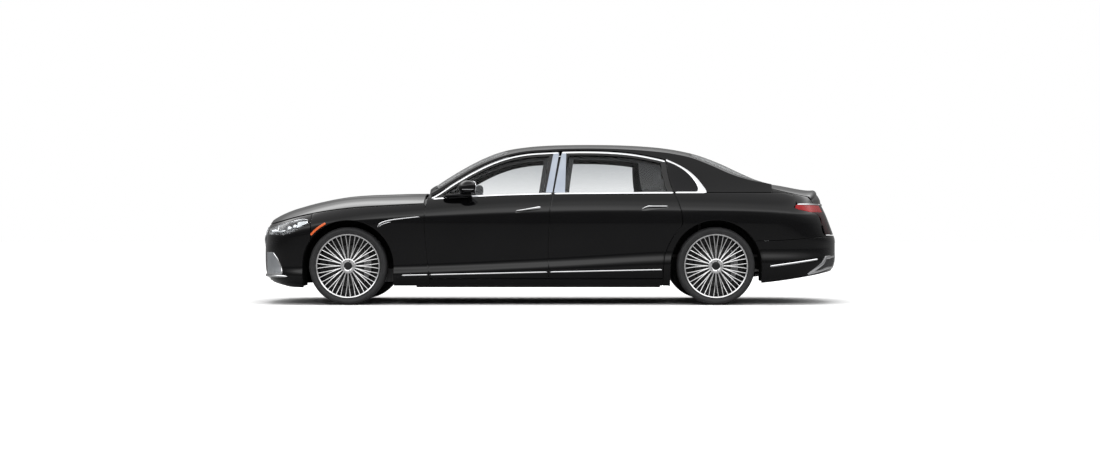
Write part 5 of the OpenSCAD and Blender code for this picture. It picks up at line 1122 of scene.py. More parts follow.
def tail_lamp(z0, z1):
    """Tail lamp between two heights: it starts beside the lid, goes round the corner and ends at the quarter
    panel."""
    u, r = np.meshgrid(np.linspace(0, 1, 40), np.linspace(0, 1, 16), indexing="ij")
    z = z0 + (z1 - z0) * r
    end_x = lamp_line(z) - 0.005
    y = 0.8 * CORNER_Y + GAP + (side_y(end_x, z) - 0.8 * CORNER_Y - GAP) * u**0.8
    x = np.where(u > 0.995, end_x, plan_x(y, z, False))
    points = coords(x, y, z)
    return shell(points + (0, 0.0025, 0) * u[..., None]**2, 0.022, roll=0.002)


low, high, split = 0.43 * HEIGHT + 0.006, STRIP_Z, 0.858
show("tail_lamp_red", pair(tail_lamp(split + 0.002, high)), RED_LENS,
     stands_for=("tail_lamps",))
show("tail_lamp_smoked", pair(tail_lamp(low, split - 0.002)), SMOKED)
print({n: made[n] for n in ("front_cover", "rear_cover", "boot_lid_skin", "tail_lamp_red")})

# %% [markdown]
# ## Bright trim
# The trim follows the same lines as the panels: along the belt, over the windows, low on the doors. Each
# strip rides on the panel that carries it, so a door takes its own pieces along.


# %% Trim on the doors
def along_side(x, z, lift=0.0, cabin=False):
    """Path on the side of the car: y from the side or the cabin surface, lifted outwards a little."""
    y = cabin_y(x, z) if cabin else side_y(x, z)
    return coords(x, y + lift, z)


OUT, LEAN = (0, 1, 0.12), (0, 1, 0.6)
low_line = curve([(1.371, 0.2735), (0.009, 0.304), (-1.044, 0.326)])
HANDLES = {"front": ((0.318, 0.867), (0.091, 0.901)), "rear": ((-0.845, 0.886), (-1.079, 0.910))}
for place, (a, c, s0, s1) in DOORS.items():
    b = 0.68 * HEIGHT
    x = np.linspace(a(b) - 0.008, c(b) + 0.008, 90)
    x = x[x < 1.09]
    belt = strip(along_side(x, belt_z(x) + 0.001, -0.002), LEAN, 0.017, 0.008)
    ends = (a(1.4) if place == "rear" else 1.11,
            (front_rear_cut(1.42) if place == "front" else rear_cut(1.33)) + 0.01)
    x = np.linspace(ends[0] - 0.008, ends[1], 120)
    z = window_top(x) - 0.013
    upper = strip(along_side(x, z, 0.0, True), LEAN, 0.014 + 0.004 * (place == "rear"), 0.007)
    x = np.linspace(a(0.29) - 0.012, c(0.32) + 0.012, 80)
    lower = strip(along_side(x, low_line(x), -0.001), OUT, 0.011, 0.008, tip=0.02)
    (x0, z0), (x1, z1) = HANDLES[place]
    t = np.linspace(0, 1, 60)
    x, z = x0 + (x1 - x0) * t, z0 + (z1 - z0) * t
    if place == "front":
        wide = 0.009 + 0.016 * t**1.6
    else:
        z, wide = (z0 + (z1 - z0) * np.sin(np.pi / 2 * np.clip(t / 0.3, 0, 1)), 0.009 + 0.005
                   * np.exp(-((t - 0.26) / 0.1)**2) + 0.003 * t)
    grip = strip(along_side(x, z, 0.004 + 0.012 * np.sin(np.pi * t)**0.5), OUT, wide, 0.014, tip=0.03,
                 sides=14)
    t, r = np.meshgrid(np.linspace(-0.02, 1.02, 30), np.linspace(-0.02, 0.012, 8), indexing="ij")
    cup = along_side(x0 + (x1 - x0) * t, z0 + (z1 - z0) * t + r, 0.0008)
    cup = shell(cup, 0.003, roll=0.001)
    z = np.linspace(0, 1, 40)[:, None] * np.ones(14)
    u = np.linspace(0, 1, 14)[None] * np.ones((40, 1))
    z = belt_z(-0.05) + 0.012 + (window_top(-0.05) - 0.028 - belt_z(-0.05)) * z
    gap_x = front_rear_cut(z) + GAP / 2 + 0.001 if place == "front" else middle_cut(z) - GAP / 2 - 0.001
    rise = (z - belt_z(-0.05)) / (window_top(-0.05) - belt_z(-0.05))
    x = gap_x + ((0.045 - 0.077 * rise if place == "front" else -0.133 - 0.014 * rise) - gap_x) * u
    cover_plate = shell(along_side(x, z, 0.0035, True), 0.004, roll=0.0012)
    for side, turn in SIDES:
        body = f"door_{place}_{side}"
        show(f"trim_{body}", [turn(belt), turn(upper), turn(lower)], CHROME, body)
        show(f"handle_{body}", [turn(grip)], CHROME, body)
        show(f"handle_cup_{body}", [turn(cup)], GLOSS_BLACK, body)
        show(f"pillar_{body}", [turn(cover_plate)], BRUSHED_SILVER, body)
print("door trim:", {k: v for k, v in made.items() if k.startswith(("trim_", "pillar_"))})

# %% Trim on the body
x_tip = station(1.976)
u, v = np.meshgrid(np.linspace(0, 1, 40), np.linspace(0, 1, 30), indexing="ij")
z_front = belt_z(-1.2) + 0.01 + (window_top(turn_x) - 0.03 - belt_z(-1.2)) * v
x = rear_cut(z_front) - 0.022 + (x_tip - rear_cut(z_front) + 0.022) * u
z = belt_z(x) + 0.01 + (np.maximum(window_top(x) - 0.014, belt_z(x) + 0.012) - belt_z(x) - 0.01) * v
x = rear_cut(z) - 0.022 + (x_tip - rear_cut(z) + 0.022) * u
show("quarter_glass", pair(shell(along_side(x, z, 0.003, True), 0.004, roll=0.0015)), DARK_GLASS,
     stands_for=("quarter_windows",))


def bend_through(points, count):
    """Smooth path through side-view points: each coordinate is a cubic of the share of the way."""
    p = np.array(points, float)
    way = np.r_[0, np.cumsum(np.hypot(*np.diff(p, axis=0).T))]
    t = np.linspace(0, way[-1], count)
    return np.stack([curve(list(zip(way, p[:, i])))(t) for i in (0, 1)], -1)


outer = bend_through([(-1.082, 1.352), (-1.16, 1.316), (-1.249, 1.267), (-1.351, 1.182), (-1.41, 1.105),
                      (-1.438, 1.058), (-1.440, 1.036), (-1.425, 1.028)], 90)
inner = bend_through([(-1.082, 1.332), (-1.16, 1.298), (-1.243, 1.247), (-1.325, 1.166), (-1.358, 1.112),
                      (-1.368, 1.075), (-1.36, 1.052), (-1.34, 1.046)], 90)
flat = inner[:, None] + (outer - inner)[:, None] * np.linspace(0, 1, 10)[None, :, None]
bulge = 0.004 + 0.004 * np.sin(np.pi * np.linspace(0, 1, 10))[None]
arrow = shell(along_side(flat[..., 0], np.maximum(flat[..., 1], belt_z(flat[..., 0]) + 0.002), bulge, True),
              0.006, roll=0.002)
x = np.linspace(rear_cut(1.03) - 0.01, -1.43, 60)
sill_strip = strip(along_side(x, belt_z(x) + 0.003, 0.0), LEAN, 0.017, 0.008)
x = np.linspace(1.371, front_cut(0.28) + 0.012, 30)
fender_low = strip(along_side(x, low_line(x), -0.001), OUT, 0.011, 0.008, tip=0.02)
t = np.linspace(0, 1, 80)[:, None]
vent = ((1 - t)**3 * (1.593, 0.7195) + 3 * t * (1 - t)**2 * (1.565, 0.775) + 3 * t**2 * (1 - t) * (1.5, 0.784)
        + t**3 * (1.205, 0.8137))
vent_strip = strip(along_side(vent[:, 0], vent[:, 1], -0.001), OUT, 0.013 - 0.005 * t[:, 0], 0.009, tip=0.04)
low_vent = vent[8:46] - (0.004, 0.016)
low_vent = strip(along_side(low_vent[:, 0], low_vent[:, 1], -0.001), OUT, 0.006, 0.006, tip=0.03)
x = np.linspace(-2.022, -2.483, 60)
z = 0.356 + (x + 2.022) / (-2.483 + 2.022) * (0.4196 - 0.356)
rear_strip = strip(along_side(x, z, -0.001), OUT, 0.017, 0.009, tip=0.03)
show("body_trim", pair(arrow, sill_strip, fender_low, vent_strip, low_vent, rear_strip), CHROME)
a = np.radians(np.linspace(40, 63, 40))
x, z = AXLES[0] + 0.443 * np.cos(a), HUB + 0.443 * np.sin(a)
marker = strip(coords(x, np.where(x > BUMPER_X, end_path(1.0, z, x)[..., 1], side_y(x, z)), z), OUT, 0.02,
               0.006, tip=0.01)
show("side_markers", pair(marker), AMBER)
print("body trim:", made["body_trim"], "faces")

# %% [markdown]
# ## Nose details
# Headlamps are a clear lens over a dark bowl with round lamps, a bright brow along the top edge and a
# plate at the back. The grille is a dark box with upright bright bars in a bright surround; the intakes
# below it hold black bars. All of it lies on the front cover's own grid, so it follows the nose.


# %% Headlamps
def on_cover(f, q, back=0.0):
    """Points on the front cover at path share f and row q, pushed back along the car by a distance."""
    p = cover_points(np.atleast_1d(f), np.atleast_1d(q))
    return p - (back, 0, 0)


lens_f, lens_q = np.linspace(0.574, 0.982, 60), np.linspace(6.03, 6.97, 16)
lens = shell(on_cover(lens_f, lens_q), 0.003, roll=0.001)
bowl_points = on_cover(lens_f[::2], lens_q)
deep = 0.045 * np.sin(np.linspace(0, np.pi, 30))[:, None] * np.sin(np.linspace(0, np.pi, 16))[None]**0.6
ribs = 0.002 * np.sin(np.linspace(0, 50, 30))[:, None]
bowl_points = (bowl_points - normals(bowl_points) * np.where(normals(bowl_points)[..., :1].mean() > 0, 1, -1)
               * (0.012 + deep + ribs * (deep > 0.01))[..., None])
bowl = shell(bowl_points, 0.004, roll=0.001)
bright = []
for f0, face in ((0.63, 10), (0.69, 25), (0.832, 60), (0.874, 60)):
    p = on_cover(f0, 6.42, 0.0)[0, 0]
    c, s = np.cos(np.radians(face)), np.sin(np.radians(face))
    a = np.linspace(0, np.pi / 2, 8)
    dome = spin(np.r_[np.c_[0.026 * np.sin(a) + 1e-4, 0.02 * np.cos(a)],
                      [(0.03, -0.002), (0.03, -0.02), (1e-4, -0.02)]], 28)
    v = dome[0][:, [1, 0, 2]] * (1, -1, 1) * (0.8, 0.75, 0.7)
    v = coords(c * v[:, 0] - s * v[:, 1], s * v[:, 0] + c * v[:, 1], v[:, 2])
    bright.append(outward((v + p - 0.03 * np.array([c, s, 0]), dome[1], dome[2])))
brow_f = np.linspace(0.60, 0.976, 70)
brow = strip(on_cover(brow_f, 6.88, 0.006)[:, 0], (0.6, 0.8, 0.1), 0.005 + 0.010
             * np.clip((brow_f - 0.70) / 0.06, 0, 1), 0.006, tip=0.02)
foot = strip(on_cover(np.linspace(0.752, 0.815, 30), 6.3, 0.004)[:, 0] - (0, 0.004, 0), (0.4, 0.9, 0.2),
             0.012, 0.006)
hook = strip(on_cover(0.754, np.linspace(6.3, 6.85, 20), 0.004)[0] - (0, 0.004, 0), (0.4, 0.9, 0.0), 0.012,
             0.006)
plate = shell(on_cover(np.linspace(0.905, 0.977, 24), np.linspace(6.2, 6.66, 10), 0.0) - (0, 0.010, 0), 0.003,
              roll=0.001)
show("lamp_lenses", pair(lens), CLEAR, stands_for=("headlamps",))
show("lamp_bowls", pair(bowl), LAMP_SHELL)
show("lamp_lights", pair(*bright, brow, foot, hook, plate), SILVER)

# %% Grille and intakes
back = shell(on_cover(np.linspace(-0.335, 0.335, 40), np.linspace(3.05, 6.95, 20), 0.03), 0.004)
cross = [strip(on_cover(np.linspace(-0.33, 0.33, 50), q, 0.022)[:, 0], (1, 0, 0.1), 0.010, 0.014, sides=12)
         for q in (3.9, 4.9, 5.9)]
rows = np.linspace(3.1, 6.9, 24)
bowed = coords(0.014 + 0.012 * ((rows - 5) / 1.9)**2, 0 * rows, 0 * rows)
posts = [strip(on_cover(f0, rows, 0.0)[0] - bowed, (1, 0, 0.1), 0.007, 0.012)
         for f0 in np.linspace(-0.308, 0.308, 23)]
rim = np.concatenate([on_cover(np.linspace(-0.335, 0.335, 50), 3.05, -0.004)[:, 0],
                      on_cover(0.335, np.linspace(3.1, 6.9, 30), -0.004)[0],
                      on_cover(np.linspace(0.335, -0.335, 50), 6.95, -0.004)[:, 0],
                      on_cover(-0.335, np.linspace(6.9, 3.1, 30), -0.004)[0]])
sunk = 0.013 - 0.012 * np.clip((rim[:, 2] - 0.52) / 0.08, 0, 1)
surround = strip(rim - sunk[:, None] * (1, 0, 0), (1, 0, 0.15), 0.022, 0.010, ends=False)
show("grille_back", back, PLASTIC)
show("grille_bars", [*posts, surround], CHROME, stands_for=("grille",))
show("grille_cross", cross, GLOSS_BLACK)
net = shell(on_cover(np.linspace(-0.51, 0.51, 60), np.linspace(0.95, 2.05, 12), 0.035), 0.004)
bars = [strip(on_cover(np.linspace(-0.5, 0.5, 60), q, 0.012)[:, 0], (1, 0, 0), 0.008, 0.02)
        for q in (1.3, 1.6)]
f, q = np.meshgrid(np.linspace(0, 1, 30), np.linspace(0, 1, 14), indexing="ij")
corner_f, corner_q = 0.54 + (0.262 - 0.11 * q**2) * f + 0.03 * q, 2.12 + 1.75 * q
corner = np.stack([cover_points(cf, np.array([cq]))[:, 0] for cf, cq in zip(corner_f.T, corner_q[0])], 1)
scoop = shell(corner + normals(corner) * (0.0025 if normals(corner)[..., 0].mean() > 0 else -0.0025), 0.004,
              roll=0.0015)
show("intakes", [net, *bars], PLASTIC)
show("scoops", pair(scoop), SATIN)
lip_f = np.linspace(-0.86, 0.86, 160)
lip = strip(on_cover(lip_f, 1.86, -0.006)[:, 0], (0.8, 0, 0.1), 0.026 - 0.008 * np.abs(lip_f), 0.02, tip=0.05)
edge = np.concatenate([corner[-1, ::-1], corner[::-1, 0][1:]])
out = (np.concatenate([np.full(14, 1.0), np.linspace(1, 0, 29)])[:, None] * (0.35, 0.94, 0)
       + np.concatenate([np.full(14, 0.0), np.linspace(0, 1, 29)])[:, None] * (0.94, 0.34, 0))
outline = strip(edge + out * 0.002, out, 0.014, 0.008)
show("nose_trim", [lip, *pair(outline)], CHROME)
print("nose:", {k: made[k] for k in ("lamp_lenses", "grille_bars", "scoops", "nose_trim")})

# %% [markdown]
# ## Tail details
# A bright strip runs over the lid and round the corner above the lamps, and low in the bumper a bright
# frame holds each outlet. They are profiles carried along paths on the rear surfaces.

# %% Tail details
strip_z = STRIP_Z + 0.004
y = np.linspace(-0.8 * CORNER_Y + 0.008, 0.8 * CORNER_Y - 0.008, 80)
lid_strip = strip(coords(plan_x(y, np.full_like(y, strip_z), False) - 0.001, y, np.full_like(y, strip_z)),
                  (-1, 0, 0.3), 0.016, 0.009)
show("boot_trim", lid_strip, CHROME, "boot_lid")
turn_y = np.linspace(0.8 * CORNER_Y + 0.008, 0.76, 40)
turn_x_ = plan_x(turn_y, np.full_like(turn_y, strip_z), False)
x = np.r_[turn_x_, np.linspace(turn_x_[-1], -2.285, 31)[1:]]
y = np.r_[turn_y, side_y(x[40:], strip_z)]
t = np.linspace(0, 1, 70)**0.7
lamp_strip = strip(coords(x, y, np.full_like(y, strip_z)), coords(t - 1, t, 0.2 + 0 * t), 0.014, 0.007,
                   tip=0.02)
ring_f = np.r_[np.linspace(0.42, 0.775, 30), np.linspace(0.775, 0.69, 22)[1:-1], np.linspace(0.69, 0.42, 20),
               np.full(10, 0.42)]
ring_t = np.r_[np.full(18, 0.12), np.linspace(0.12, 0.06, 12), np.linspace(0.06, 0.41, 22)[1:-1],
               np.full(20, 0.42), np.linspace(0.42, 0.12, 12)[1:-1]]
outlet = np.concatenate([rear_points(np.array([a]), np.array([b]))[0] for a, b in zip(ring_f, ring_t)])
pipe_ring = strip(outlet, coords(-np.ones(80), 1.4 * np.clip((ring_f - 0.55) / 0.2, 0, 1), np.zeros(80)),
                  0.018 + 0.012 * np.clip((ring_t - 0.06) / 0.1, 0, 1) * (ring_f > 0.6), 0.012, ends=False)
mouth = np.stack([rear_points(np.linspace(0.43, 0.765 - 0.2 * (a - 0.1), 30), np.array([a]))[:, 0]
                  for a in np.linspace(0.1, 0.4, 12)], 1)
mouth = shell(mouth + normals(mouth) * (0.002 if normals(mouth)[..., 0].mean() < 0 else -0.002), 0.003)
show("outlet_mouths", pair(mouth), PLASTIC)
show("tail_trim", pair(lamp_strip, pipe_ring), CHROME)
print("tail:", {k: made[k] for k in ("boot_trim", "tail_trim", "outlet_mouths")})

# %% [markdown]
# ## Mirrors and wipers
# A mirror is a rounded pod on a foot at the door, with its glass turned back and in towards the driver.
# A sphere with blunted sines gives the pod; the wipers are profiles that lie on the screen.


# %% Mirrors and wipers
def pod(centre, half, power=2.6, n=36, m=24):
    """Rounded box: a sphere whose sine and cosine are raised to a power below one, stretched to three half
    sizes."""
    a, b = np.meshgrid(np.linspace(0, 2 * np.pi, n, endpoint=False), np.linspace(0.02, np.pi - 0.02, m),
                       indexing="ij")
    e = 2 / power
    bend = lambda v: np.sign(v) * np.abs(v)**e
    p = (coords(bend(np.cos(b)), bend(np.sin(b)) * bend(np.cos(a)), bend(np.sin(b)) * bend(np.sin(a))) * half
         + centre)
    v, f, uv = grid(p, wrap=True)
    ring = np.arange(n) * m
    caps = [coords(r[:n // 2 - 1], r[1:n // 2], r[::-1][1:n // 2], r[::-1][:n // 2 - 1])
            for r in (ring, ring + m - 1)]
    caps[0] = caps[0][:, ::-1]
    return outward((v, np.concatenate([f, *caps]), uv))


centre, toe = np.array([0.772, 0.946, 1.087]), np.radians(28)
back, along = np.array([-np.cos(toe), -np.sin(toe), 0]), np.array([-np.sin(toe), np.cos(toe), 0])


def in_mirror(p):
    """From the mirror's own axes (ahead, outwards, up) to the car: the glass looks back and in towards the
    driver."""
    return centre - p[..., :1] * back + p[..., 1:2] * along + p[..., 2:] * (0, 0, 1)


shape = pod((0, 0, 0), (0.075, 0.088, 0.062))
v = shape[0]
ahead = np.clip(v[:, 0] / 0.075, 0, 1)
v = coords(np.maximum(v[:, 0], -0.05), v[:, 1] * (1 - 0.15 * ahead), v[:, 2] * (1 - 0.3 * ahead**2) - 0.008
           * ahead)
shape = outward((in_mirror(v), *shape[1:]))
arm = pod((0.86, 0.893, 1.017), (0.135, 0.052, 0.022), 3.0)
v = arm[0]
slim = np.clip((v[:, 0] - 0.80) / 0.195, 0, 1)
arm = (v + coords(0 * slim, -0.02 * slim, (1.002 - v[:, 2]) * 0.6 * slim), *arm[1:])
a = np.linspace(0, 2 * np.pi, 48)
oval = lambda r: in_mirror(coords(np.full(48, -0.052), r * 0.078 * np.sign(np.cos(a))
                                  * np.abs(np.cos(a))**0.75, r * 0.053 * np.sign(np.sin(a))
                                  * np.abs(np.sin(a))**0.75))
rim = strip(oval(1.0), back, 0.010, 0.008, ends=False)
b = np.radians(np.linspace(25, 115, 30))
waist_line = in_mirror(coords(0.075 * np.sign(np.cos(b)) * np.abs(np.cos(b))**0.77, 0.088 * np.sin(b)**0.77
                              * (1 - 0.15 * np.clip(np.cos(b), 0, 1)), np.full(30, -0.022)))
lamp_bar = strip(waist_line, waist_line - centre, 0.007, 0.004, tip=0.02)
pane = shell(np.stack([oval(r) for r in np.linspace(0.02, 0.96, 8)], 1), 0.003)
for side, turn in SIDES:
    body = f"door_front_{side}"
    show(f"mirror_{side}", [turn(shape), turn(arm)], PAINT, body)
    show(f"mirror_rim_{side}", [turn(rim), turn(lamp_bar)], CHROME, body)
    show(f"mirror_glass_{side}", [turn(pane)], MIRROR, body)
t = np.linspace(0, 1, 40)
blades = []
for y0, y1 in ((0.55, -0.12), (-0.08, -0.62)):
    y = y0 + (y1 - y0) * t
    x = station(1.24) + bows[0] * (1 - (y / 0.72)**2) - 0.025 - 0.02 * t
    blades.append(strip(coords(x, y, roof_z(x, y) + 0.001), (0.6, 0, 1), 0.012, 0.008))
show("wipers", blades, SEAL)
print("mirrors and wipers made")

# %% [markdown]
# ## Wheels
# Every wheel is turned about its axle: a tyre with four grooves, a dark barrel with a flat inner ring
# wall that is painted shade behind the spokes, a polished outer ring and a hub ring. Twenty pairs of thin
# spokes start together at the hub and part on the way to the rim, so the rim carries forty evenly spaced
# ends.


# %% Tyre and rim profiles
def both_ways(half):
    """Closed profile from its half on the outer side: the other half is the same with y turned round."""
    half = np.asarray(half, float)
    return np.concatenate([half, half[::-1] * (1, -1)])


def rounded(points, rounds=2):
    """Corner cutting: every edge gives two points at a quarter and three quarters, the ends stay."""
    p = np.asarray(points, float)
    for _ in range(rounds):
        q = np.empty((2 * len(p), p.shape[1]))
        q[0], q[-1] = p[0], p[-1]
        q[1:-1:2], q[2:-1:2] = 0.75 * p[:-1] + 0.25 * p[1:], 0.25 * p[:-1] + 0.75 * p[1:]
        p = q
    return p


side_wall = rounded([(0.286, 0.088), (0.289, 0.099), (0.296, 0.1035), (0.301, 0.1125), (0.306, 0.1125),
                     (0.311, 0.116), (0.325, 0.1235), (0.338, 0.1225), (0.349, 0.113), (0.3560, 0.100),
                     (0.3588, 0.088)])
groove = lambda y: [(0.3592, y + 0.0052), (0.3525, y + 0.004), (0.3525, y - 0.004), (0.3592, y - 0.0052)]
tread = [(0.359, 0.08), *groove(0.062), (0.3597, 0.045), *groove(0.021)]
TYRE = spin(both_ways(np.concatenate([side_wall, tread])), 84)
# The barrel's flat inner ring (r 0.195 to 0.266) is a dark wall where a real wheel is open: painted shade.
BARREL = spin([(0.2845, 0.096), (0.2795, 0.09), (0.268, 0.06), (0.266, -0.02), (0.195, -0.03),
               (0.195, -0.036), (0.266, -0.04), (0.266, -0.09), (0.276, -0.103), (0.286, -0.103),
               (0.286, -0.098), (0.279, -0.09), (0.279, 0.086), (0.285, 0.09)], 120)
LIP = spin(rounded([(0.286, 0.098), (0.2835, 0.098), (0.2815, 0.1015), (0.2825, 0.105), (0.287, 0.1085),
                    (0.2925, 0.1122), (0.2955, 0.110), (0.2955, 0.106), (0.2915, 0.1015)], 1), 144)
HUB_RING = spin(rounded([(0.036, 0.062), (0.036, 0.089), (0.039, 0.0935), (0.056, 0.0965), (0.066, 0.0945),
                         (0.072, 0.088), (0.072, 0.05), (0.04, 0.05)], 1), 72)
CAP = spin(rounded([(0.0002, 0.0905), (0.02, 0.0902), (0.031, 0.0885), (0.0352, 0.086), (0.0357, 0.06),
                    (0.0002, 0.06)], 1), 48)
ROTOR = spin([(0.196, -0.006), (0.192, 0.006), (0.191, 0.007), (0.128, 0.007), (0.125, 0.016), (0.1, 0.022),
              (0.04, 0.022), (0.04, -0.02), (0.12, -0.02), (0.124, -0.007), (0.191, -0.007)], 96)


def spoke(turn, lean):
    """One spoke: a slim strip from the hub ring to the rim; its angle drifts by lean on the way and it dips
    in the middle."""
    t = np.linspace(0, 1, 16)
    r = 0.064 + (0.2835 - 0.064) * t
    a = turn + lean * t**0.8
    y = 0.086 + 0.014 * t - 0.010 * np.sin(np.pi * t)
    path = coords(r * np.cos(a), y, r * np.sin(a))
    return strip(path, (0, 1, 0), 0.0088 - 0.0015 * t, 0.017, sink=0.8, ends=False, sides=8)


SPOKES = [spoke(2 * np.pi * k / 20, lean) for k in range(20) for lean in (np.radians(-4.5), np.radians(4.5))]
bolts = [moved(spin(rounded([(0.0002, 0.008), (0.004, 0.008), (0.0052, 0.006), (0.0052, -0.01),
                             (0.0002, -0.01)], 1), 10), (0.046 * np.cos(a), 0.089, 0.046 * np.sin(a)))
         for a in 2 * np.pi * (np.arange(5) + 0.5) / 5]
print("one wheel:", sum(len(p[1]) for p in (TYRE, BARREL, LIP, HUB_RING, CAP, ROTOR, *SPOKES, *bolts)),
      "faces")

# %% Four wheels
for place, x in zip(("front", "rear"), AXLES):
    for side, sign in (("left", 1), ("right", -1)):
        body = f"wheel_{place}_{side}"
        here = lambda parts: [moved(p if sign > 0 else mirror(p), (x, sign * WHEEL_Y, HUB)) for p in parts]
        show(f"rubber_{place}_{side}", here([TYRE]), RUBBER, body, (f"tyre_{place}_{side}",),
             sharp=50)
        show(f"spokes_{place}_{side}", here(SPOKES), POLISHED, body, (body,))
        show(f"rim_{place}_{side}", here([LIP, HUB_RING]), POLISHED, body)
        show(f"barrel_{place}_{side}", here([BARREL, CAP, *bolts]), DARK_ALLOY_AND_SHADE, body)
        show(f"rotor_{place}_{side}", here([ROTOR]), DISC, body)
print("wheels:", {k: v for k, v in made.items() if k.endswith("front_left") and "wheel" not in k})

# %% [markdown]
# ## Cabin
# Seats are rounded boxes pushed into shape: a soft crown, seams pressed in between the flutes, a few
# shallow creases. Dashboard and console are lofts across the car.


# %% Seat shapes
def cushion(half, flutes, crown_, tilt, place, dent=0.008, fine=(44, 56)):
    """Padded block: a rounded box whose upper face swells towards the middle and is pressed in along the
    seams between the flutes; slow sines wrinkle it a little. Then it is tilted about the cross axis and put
    in its place."""
    v, f, uv = pod((0, 0, 0), (1, 1, 1), 5.0, *fine)
    v = v[:, [1, 0, 2]]
    f = f[:, ::-1]
    up = np.clip(v[:, 2], 0, 1)**0.5
    bulge = crown_ * (1 - v[:, 0]**2) * (1 - v[:, 1]**2) * up
    seam = np.exp(-(np.sin(np.pi * (v[:, 1] * 0.5 + 0.5) * flutes / 0.8)**2) / 0.025)
    inside = np.clip((0.82 - np.abs(v[:, 1])) / 0.05, 0, 1) * np.clip((0.86 - np.abs(v[:, 0])) / 0.1, 0, 1)
    crease = 0.0012 * np.sin(23 * v[:, 0] + 5 * v[:, 1]) * np.sin(9 * v[:, 1] - 3 * v[:, 0])
    p = v * half
    p[:, 2] += bulge - dent * seam * inside * up + crease * up
    c, s = np.cos(tilt), np.sin(tilt)
    p = coords(c * p[:, 0] + s * p[:, 2], p[:, 1], c * p[:, 2] - s * p[:, 0]) + place
    return outward((p, f, uv))


def seat_parts(x, y, high, width=0.243):
    """One place: cushion, back, head rest and the base under them."""
    base = cushion((0.235, width, 0.062), 5, 0.022, 0.07, (x - 0.225, y, 0.475))
    lean = np.radians(72)
    back = cushion((high / 2, width, 0.066), 5, 0.02, -lean,
                   (x - 0.50 - 0.19 * high / 2 / 0.604 * 1.0, y, 0.47 + high / 2))
    rest = cushion((0.085, 0.135, 0.045), 1, 0.012, -np.radians(78), (x - 0.645, y, 0.47 + high + 0.06), 0.0)
    shoes = [cushion((0.2, 0.02, 0.05), 1, 0.0, 0.0, (x - 0.235, y + k * 0.15, 0.375), 0.0, (20, 24))
             for k in (-1, 1)]
    return [base, back, rest], shoes


for x, high, name in ((0.5373, 0.60, "front_seats"), (-0.4136, 0.57, "rear_seats")):
    parts = [seat_parts(x, y, high) for y in (0.3746, -0.3746)]
    pads = [p for a, b in parts for p in a]
    if name == "rear_seats":
        pads.append(cushion((0.19, 0.115, 0.07), 2, 0.012, 0.03, (x - 0.25, 0, 0.53), 0.004))
    obj = show(f"{name}_pads", pads, LEATHER, stands_for=(name,), sharp=60)
    show(f"{name}_bases", [p for a, b in parts for p in b], PLASTIC)
print("seats:", made["front_seats_pads"], made["rear_seats_pads"], "faces")


# %% Dashboard and console
def loft(rings):
    """Closed bar through rings of points (same even number each); the ends are closed by quads across the
    ring."""
    n, m = rings.shape[:2]
    v, f, uv = grid(np.concatenate([rings, rings[:, :1]], 1))
    weld = np.arange(len(v))
    weld[m::m + 1] = weld[::m + 1]
    k, o = np.arange(m // 2), m - 1 - np.arange(m // 2)
    quad = coords(k[:-1], k[1:], o[1:], o[:-1])
    return outward((v, np.concatenate([weld[f], quad[:, ::-1], quad + (n - 1) * (m + 1)]), uv))


def closed_ring(points, rounds=2):
    """Corner cutting on a closed outline."""
    p = np.asarray(points, float)
    for _ in range(rounds):
        n = np.roll(p, -1, 0)
        p = np.stack([0.75 * p + 0.25 * n, 0.25 * p + 0.75 * n], 1).reshape(-1, p.shape[1])
    return p


def across(outline, y0, y1, count=60, roll=0.05):
    """Loft across the car: the outline in x and z is shrunk near both ends along a quarter circle."""
    ring = closed_ring(outline)
    y = np.linspace(y0, y1, count)
    near = np.clip(np.minimum(y - y0, y1 - y) / roll, 0, 1)
    scale = 0.9 + 0.1 * np.sqrt(1 - (1 - near)**2)
    mid = ring.mean(0)
    flat = mid + (ring - mid)[None] * scale[:, None, None]
    return loft(coords(flat[..., 0], np.broadcast_to(y[:, None], flat.shape[:2]), flat[..., 1]))


def block(x0, x1, y0, y1, z0, z1, cut=0.12):
    """Rounded box as a loft across the car."""
    dx, dz = cut * (x1 - x0), cut * (z1 - z0)
    d = min(dx, dz)
    return across([(x0, z0 + d), (x0, z1 - d), (x0 + d, z1), (x1 - d, z1), (x1, z1 - d), (x1, z0 + d),
                   (x1 - d, z0), (x0 + d, z0)], y0, y1, 24, min(d, 0.03))


dash = across([(1.215, 0.64), (1.05, 0.64), (0.978, 0.80), (0.976, 0.885), (0.995, 0.93), (1.05, 0.958),
               (1.10, 0.962), (1.155, 0.918), (1.215, 0.85), (1.216, 0.74)], -0.742, 0.742, 80)
hood = across([(1.09, 0.945), (1.0, 0.945), (0.965, 0.955), (0.96, 0.968), (1.0, 0.975), (1.09, 0.968)], 0.19,
              0.54, 30)
show("dash_pad", [dash, hood], LEATHER, stands_for=("dashboard",))
y = np.linspace(-0.70, 0.70, 90)
veneer = strip(coords(np.full(90, 0.977), y, 0.842 + 0.008 * np.cos(2 * y)), (-1, 0, 0.1), 0.075, 0.010,
               sides=16)
console = [block(0.30, 0.985, -0.112, 0.112, 0.49, 0.60), block(0.985, 1.10, -0.112, 0.112, 0.49, 0.66),
           block(0.16, 0.42, -0.10, 0.10, 0.50, 0.655)]
show("veneer", [veneer, block(0.45, 0.95, -0.09, 0.09, 0.592, 0.606)], WOOD)
show("console", console, LEATHER)
screens = [block(0.962, 0.974, -0.17, 0.17, 0.80, 0.915), block(0.962, 0.974, 0.225, 0.505, 0.865, 0.955)]
vents = [strip(coords(np.full(40, 0.970), y0 + 0.034 * np.cos(a), 0.845 + 0.034 * np.sin(a)), (-1, 0, 0),
               0.008, 0.01, ends=False) for y0 in (-0.6, -0.25, 0.6)
         for a in (np.linspace(0, 2 * np.pi, 40),)]
lever = block(0.60, 0.64, -0.025, 0.025, 0.606, 0.68)
show("screens", [*screens, lever], GLOSS_BLACK)
